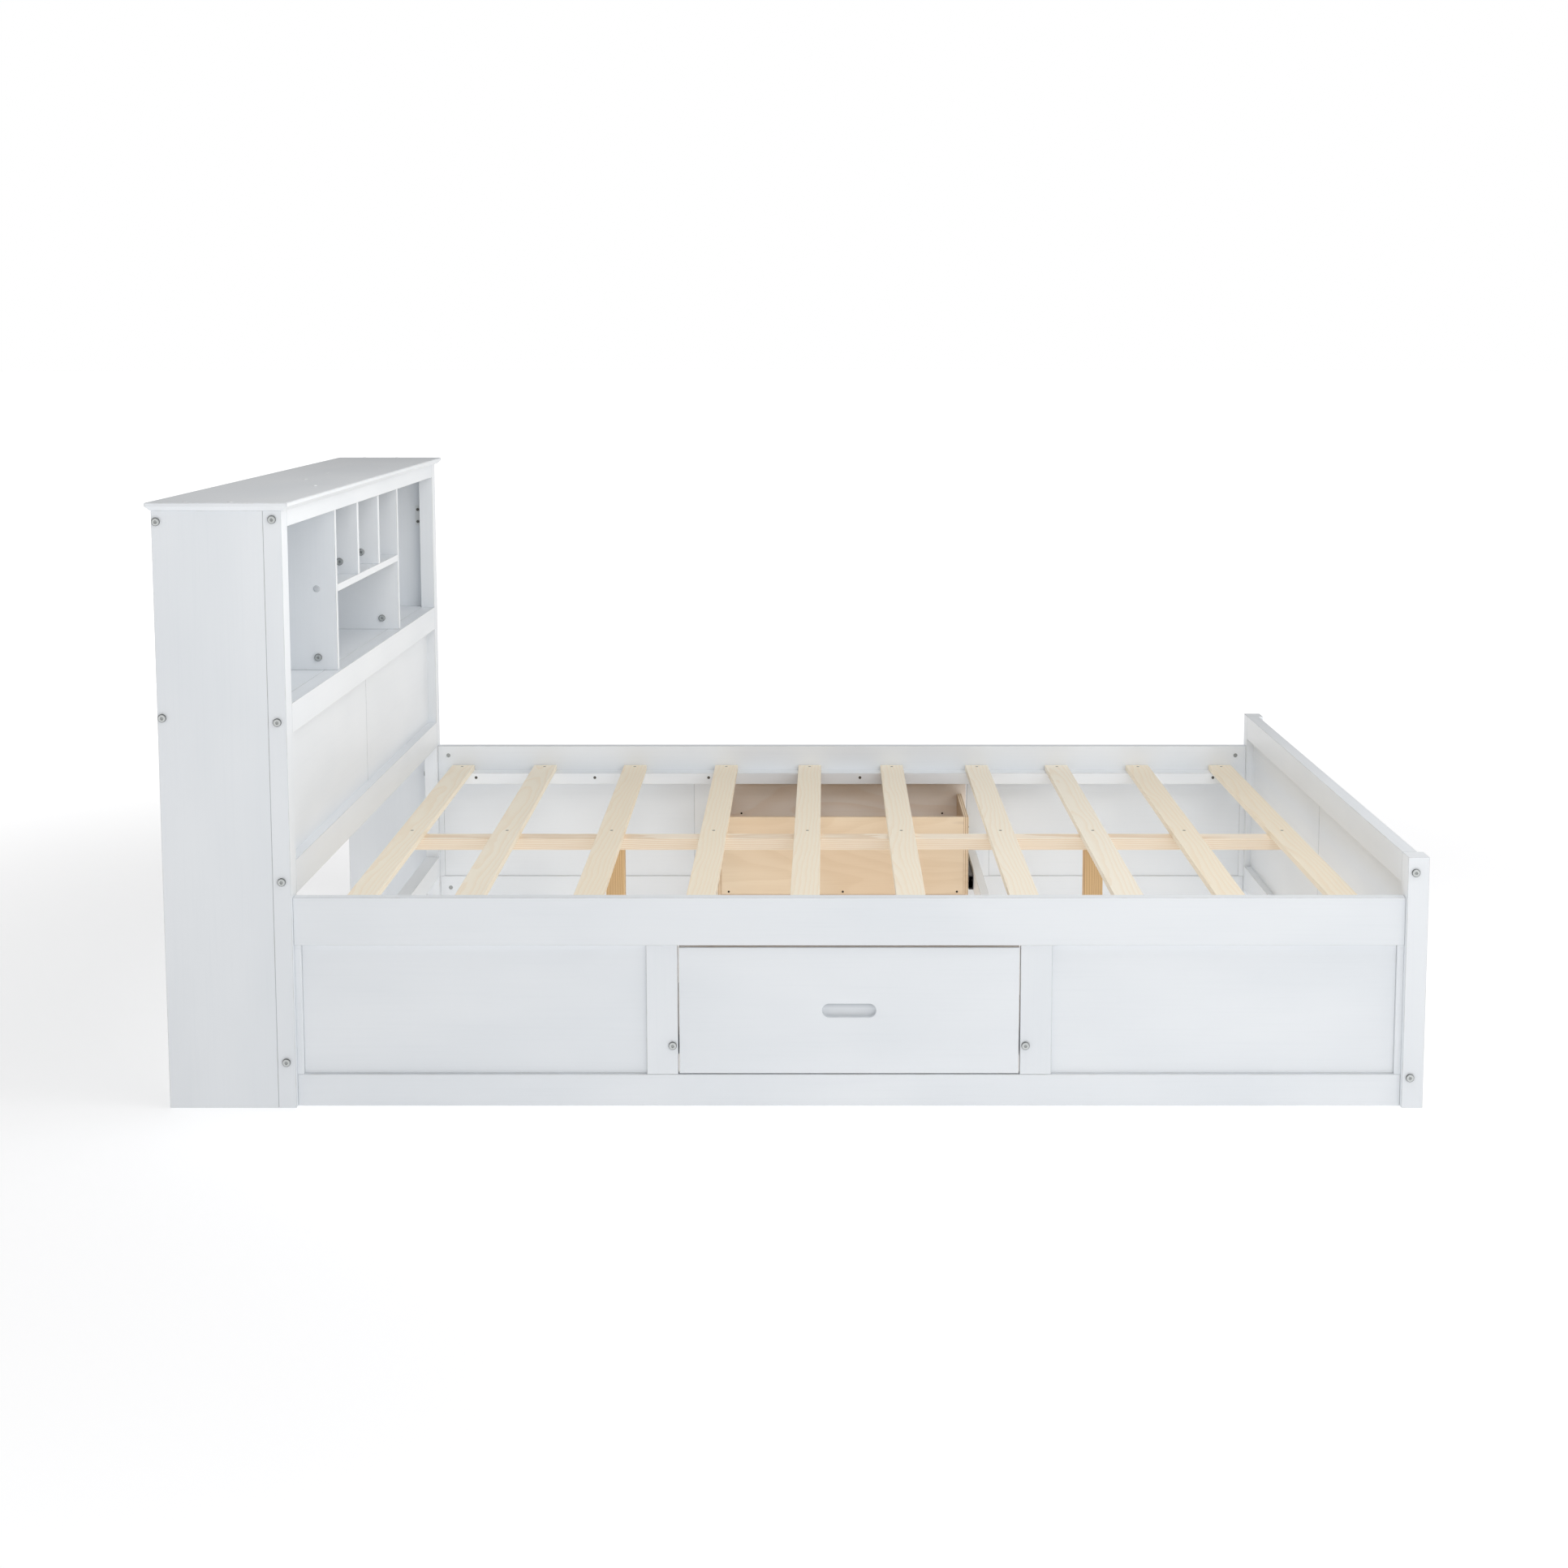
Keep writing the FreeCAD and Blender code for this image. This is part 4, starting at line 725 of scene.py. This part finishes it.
def bolt_heads():
    """Flanged heads of the frame bolts, each with a hexagonal key socket pressed into it.

    A bolt lies along the longest side of its own box, and its head is its wider end.
    """
    finish = Finish("bolt_head_steel", Metallic=1.0)
    x, y, z = finish.place()
    mottle = finish.noise(x * 900, y * 900, z * 900, 2.0)
    smear = finish.noise(x * 90, y * 90, z * 90, 2.0)
    # Painted shade: the attribute darkens the rim, where the countersink gap is in shadow, and the
    # key socket.
    shade_mark = finish.node("ShaderNodeAttribute", {"attribute_name": "shade_mark"}, output=2)
    plated = finish.blend(mottle.rise(0.35, 0.7) * 0.5, colour(206, 209, 208),
                          colour(170, 174, 174))
    finish.drive(Base_Color=finish.blend(shade_mark, plated, colour(62, 64, 66)),
                 Roughness=0.26 + smear * 0.2, Normal=finish.relief(mottle, 0.05 * MM, 0.3))
    # From the rim inwards: shares of the head's radius, heights, and how much painted shade each
    # loop takes: dark at the rim for the countersink gap's shadow, and darker again in the key
    # socket.
    shares = np.array([1.02, 1.02, 0.97, 0.86, 0.62, 0.5, 0.40, 0.37, 0.36, 0.05])
    heights = np.array([-0.6, 0.1, 0.5, 0.75, 0.85, 0.8, 0.5, 0.1, -0.1, -0.1]) * MM
    shade_marks = [1.0, 1.0, 0.8, 0.1, 0.0, 0.0, 0.2, 0.4, 0.45, 0.45]
    around, socket, end_zone = 24, 0.6, 1.5 * MM
    turn = np.linspace(0, 2 * math.pi, around, endpoint=False)
    hexagon = math.cos(math.pi / 6) / np.cos(turn % (math.pi / 3) - math.pi / 6)
    stretch = np.where(shares[:, None] < socket, hexagon, 1.0)[..., None]
    skins = []
    for bolt in separate(NODES["frame_bolts"]):
        low, high = bolt.min(0), bolt.max(0)
        axis = int(np.argmax(high - low))
        away = np.linalg.norm(np.delete(bolt - (low + high) / 2, axis, 1), axis=1)
        ends = [away[abs(bolt[:, axis] - end[axis]) < end_zone].max() for end in (low, high)]
        outward = 1 if ends[1] > ends[0] else -1
        face = (low + high) / 2
        face[axis] = (high if outward > 0 else low)[axis]
        towards = np.zeros(3)
        towards[axis] = outward
        radius = max(ends)
        flat = turned(np.stack([shares * radius, 0 * heights], -1), face, towards, around) - face
        skins.append(face + flat * stretch + heights[:, None, None] * towards)
    piece("bolt_heads", skins, "bed_frame", "zinc_steel", finish, shade_marks=shade_marks)


def drawer_screws(side, sign, finish):
    """The dark screws that hold a drawer's back, sides, bottom and front together.

    Three go through the back into the bottom's edge, four show on the front's inner face, and
    each side has two into the back and two into the front.
    """
    bottom_up, upper_down, lower_up = np.array([19, 50, 45]) * MM
    back_in, front_in, side_up, side_down = np.array([6, 8, 85, 25]) * MM
    broad, narrow = 2.6 * MM, 2.4 * MM    # radii of the heads
    low, high = (np.array(corner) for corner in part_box(f"drawer_{side}_sides"))
    back = low[1] if sign > 0 else high[1]
    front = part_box(f"drawer_{side}_front")
    inner = front[0][1] if sign > 0 else front[1][1]
    skins = []
    for share in (0.045, 0.5, 0.955):
        x = low[0] + (high[0] - low[0]) * share
        skins.append(pan_head((x, back, low[2] + bottom_up), (0, -sign, 0), broad))
    for share in (0.08, 0.92):
        for z in (high[2] - upper_down, low[2] + lower_up):
            x = low[0] + (high[0] - low[0]) * share
            skins.append(pan_head((x, inner, z), (0, -sign, 0), broad))
    for x, outward in ((low[0], -1), (high[0], 1)):
        for y in (back + sign * back_in, inner - sign * front_in):
            for z in (low[2] + side_up, high[2] - side_down):
                skins.append(pan_head((x, y, z), (outward, 0, 0), narrow))
    piece(f"drawer_{side}_screws", skins, f"drawer_{side}", "slide_steel", finish)


def slide_fittings(side, plated):
    """Ball cages and screws of a drawer's two slides. All but the rail's own screws ride on it.

    A cage is a thin channel's outline, (out from the runner's web, up) in millimetres, carried
    straight along the slide, with balls let into its two flanges.
    """
    low, high = (np.array(corner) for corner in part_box(f"drawer_{side}_runners"))
    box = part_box(f"drawer_{side}_sides")
    middle = (low[2] + high[2]) / 2
    cage = np.array([(3, 13.3), (4.6, 13.3), (5.2, 12.7), (5.2, -12.7), (4.6, -13.3), (3, -13.3),
                     (3, -12.8), (4.4, -12.8), (4.7, -12.5), (4.7, 12.5), (4.4, 12.8), (3, 12.8)])
    turn = np.linspace(0.02, math.pi - 0.02, 8)
    ball = np.stack([np.sin(turn), -np.cos(turn)], -1) * 2.0 * MM
    wall, ball_out, ball_up, ball_inset, web, screw = np.array([1.5, 6.4, 12.1, 8, 11.5, 3]) * MM
    cages, moving, fixed = [], [], []
    for box_x, out in ((box[0][0], -1), (box[1][0], 1)):
        ends = low[1] + (high[1] - low[1]) * np.array([0.2, 0.8])
        across, up = box_x + out * (wall + cage[:, 0] * MM), middle + cage[:, 1] * MM
        cages.append(np.stack([np.stack([across, 0 * up + y, up], -1) for y in ends]))
        for y in np.linspace(ends[0] + ball_inset, ends[1] - ball_inset, 8):
            for rise in (-ball_up, ball_up):
                cages.append(turned(ball, (box_x + out * ball_out, y, middle + rise),
                                    (0, 0, 1), 12))
        for share in (0.08, 0.5, 0.92):
            y = low[1] + (high[1] - low[1]) * share
            moving.append(pan_head((box_x + out * wall, y, middle), (out, 0, 0), screw))
            fixed.append(pan_head((box_x + out * web, y, middle), (-out, 0, 0), screw))
    piece(f"ball_cages_{side}", cages, f"drawer_{side}", "zinc_steel", plated)
    piece(f"runner_screws_{side}", moving, f"drawer_{side}", "zinc_steel", plated)
    piece(f"channel_screws_{side}", fixed, "bed_frame", "zinc_steel", plated)


# --- the whole bed ----------------------------------------------------------------------------

dress_nodes()
cage_steel = steel("cage_steel", colour(190, 192, 190), colour(150, 152, 152), 0.26)
for side, sign in SIDES:
    slide_fittings(side, cage_steel)
    drawer_front(side, sign)
    drawer_screws(side, sign, steel(f"dark_screw_{side}", colour(96, 88, 80),
                                    colour(66, 60, 54), 0.35))
covers()
bolt_heads()
studio()
camera()
bpy.context.scene.view_settings.view_transform = "Standard"
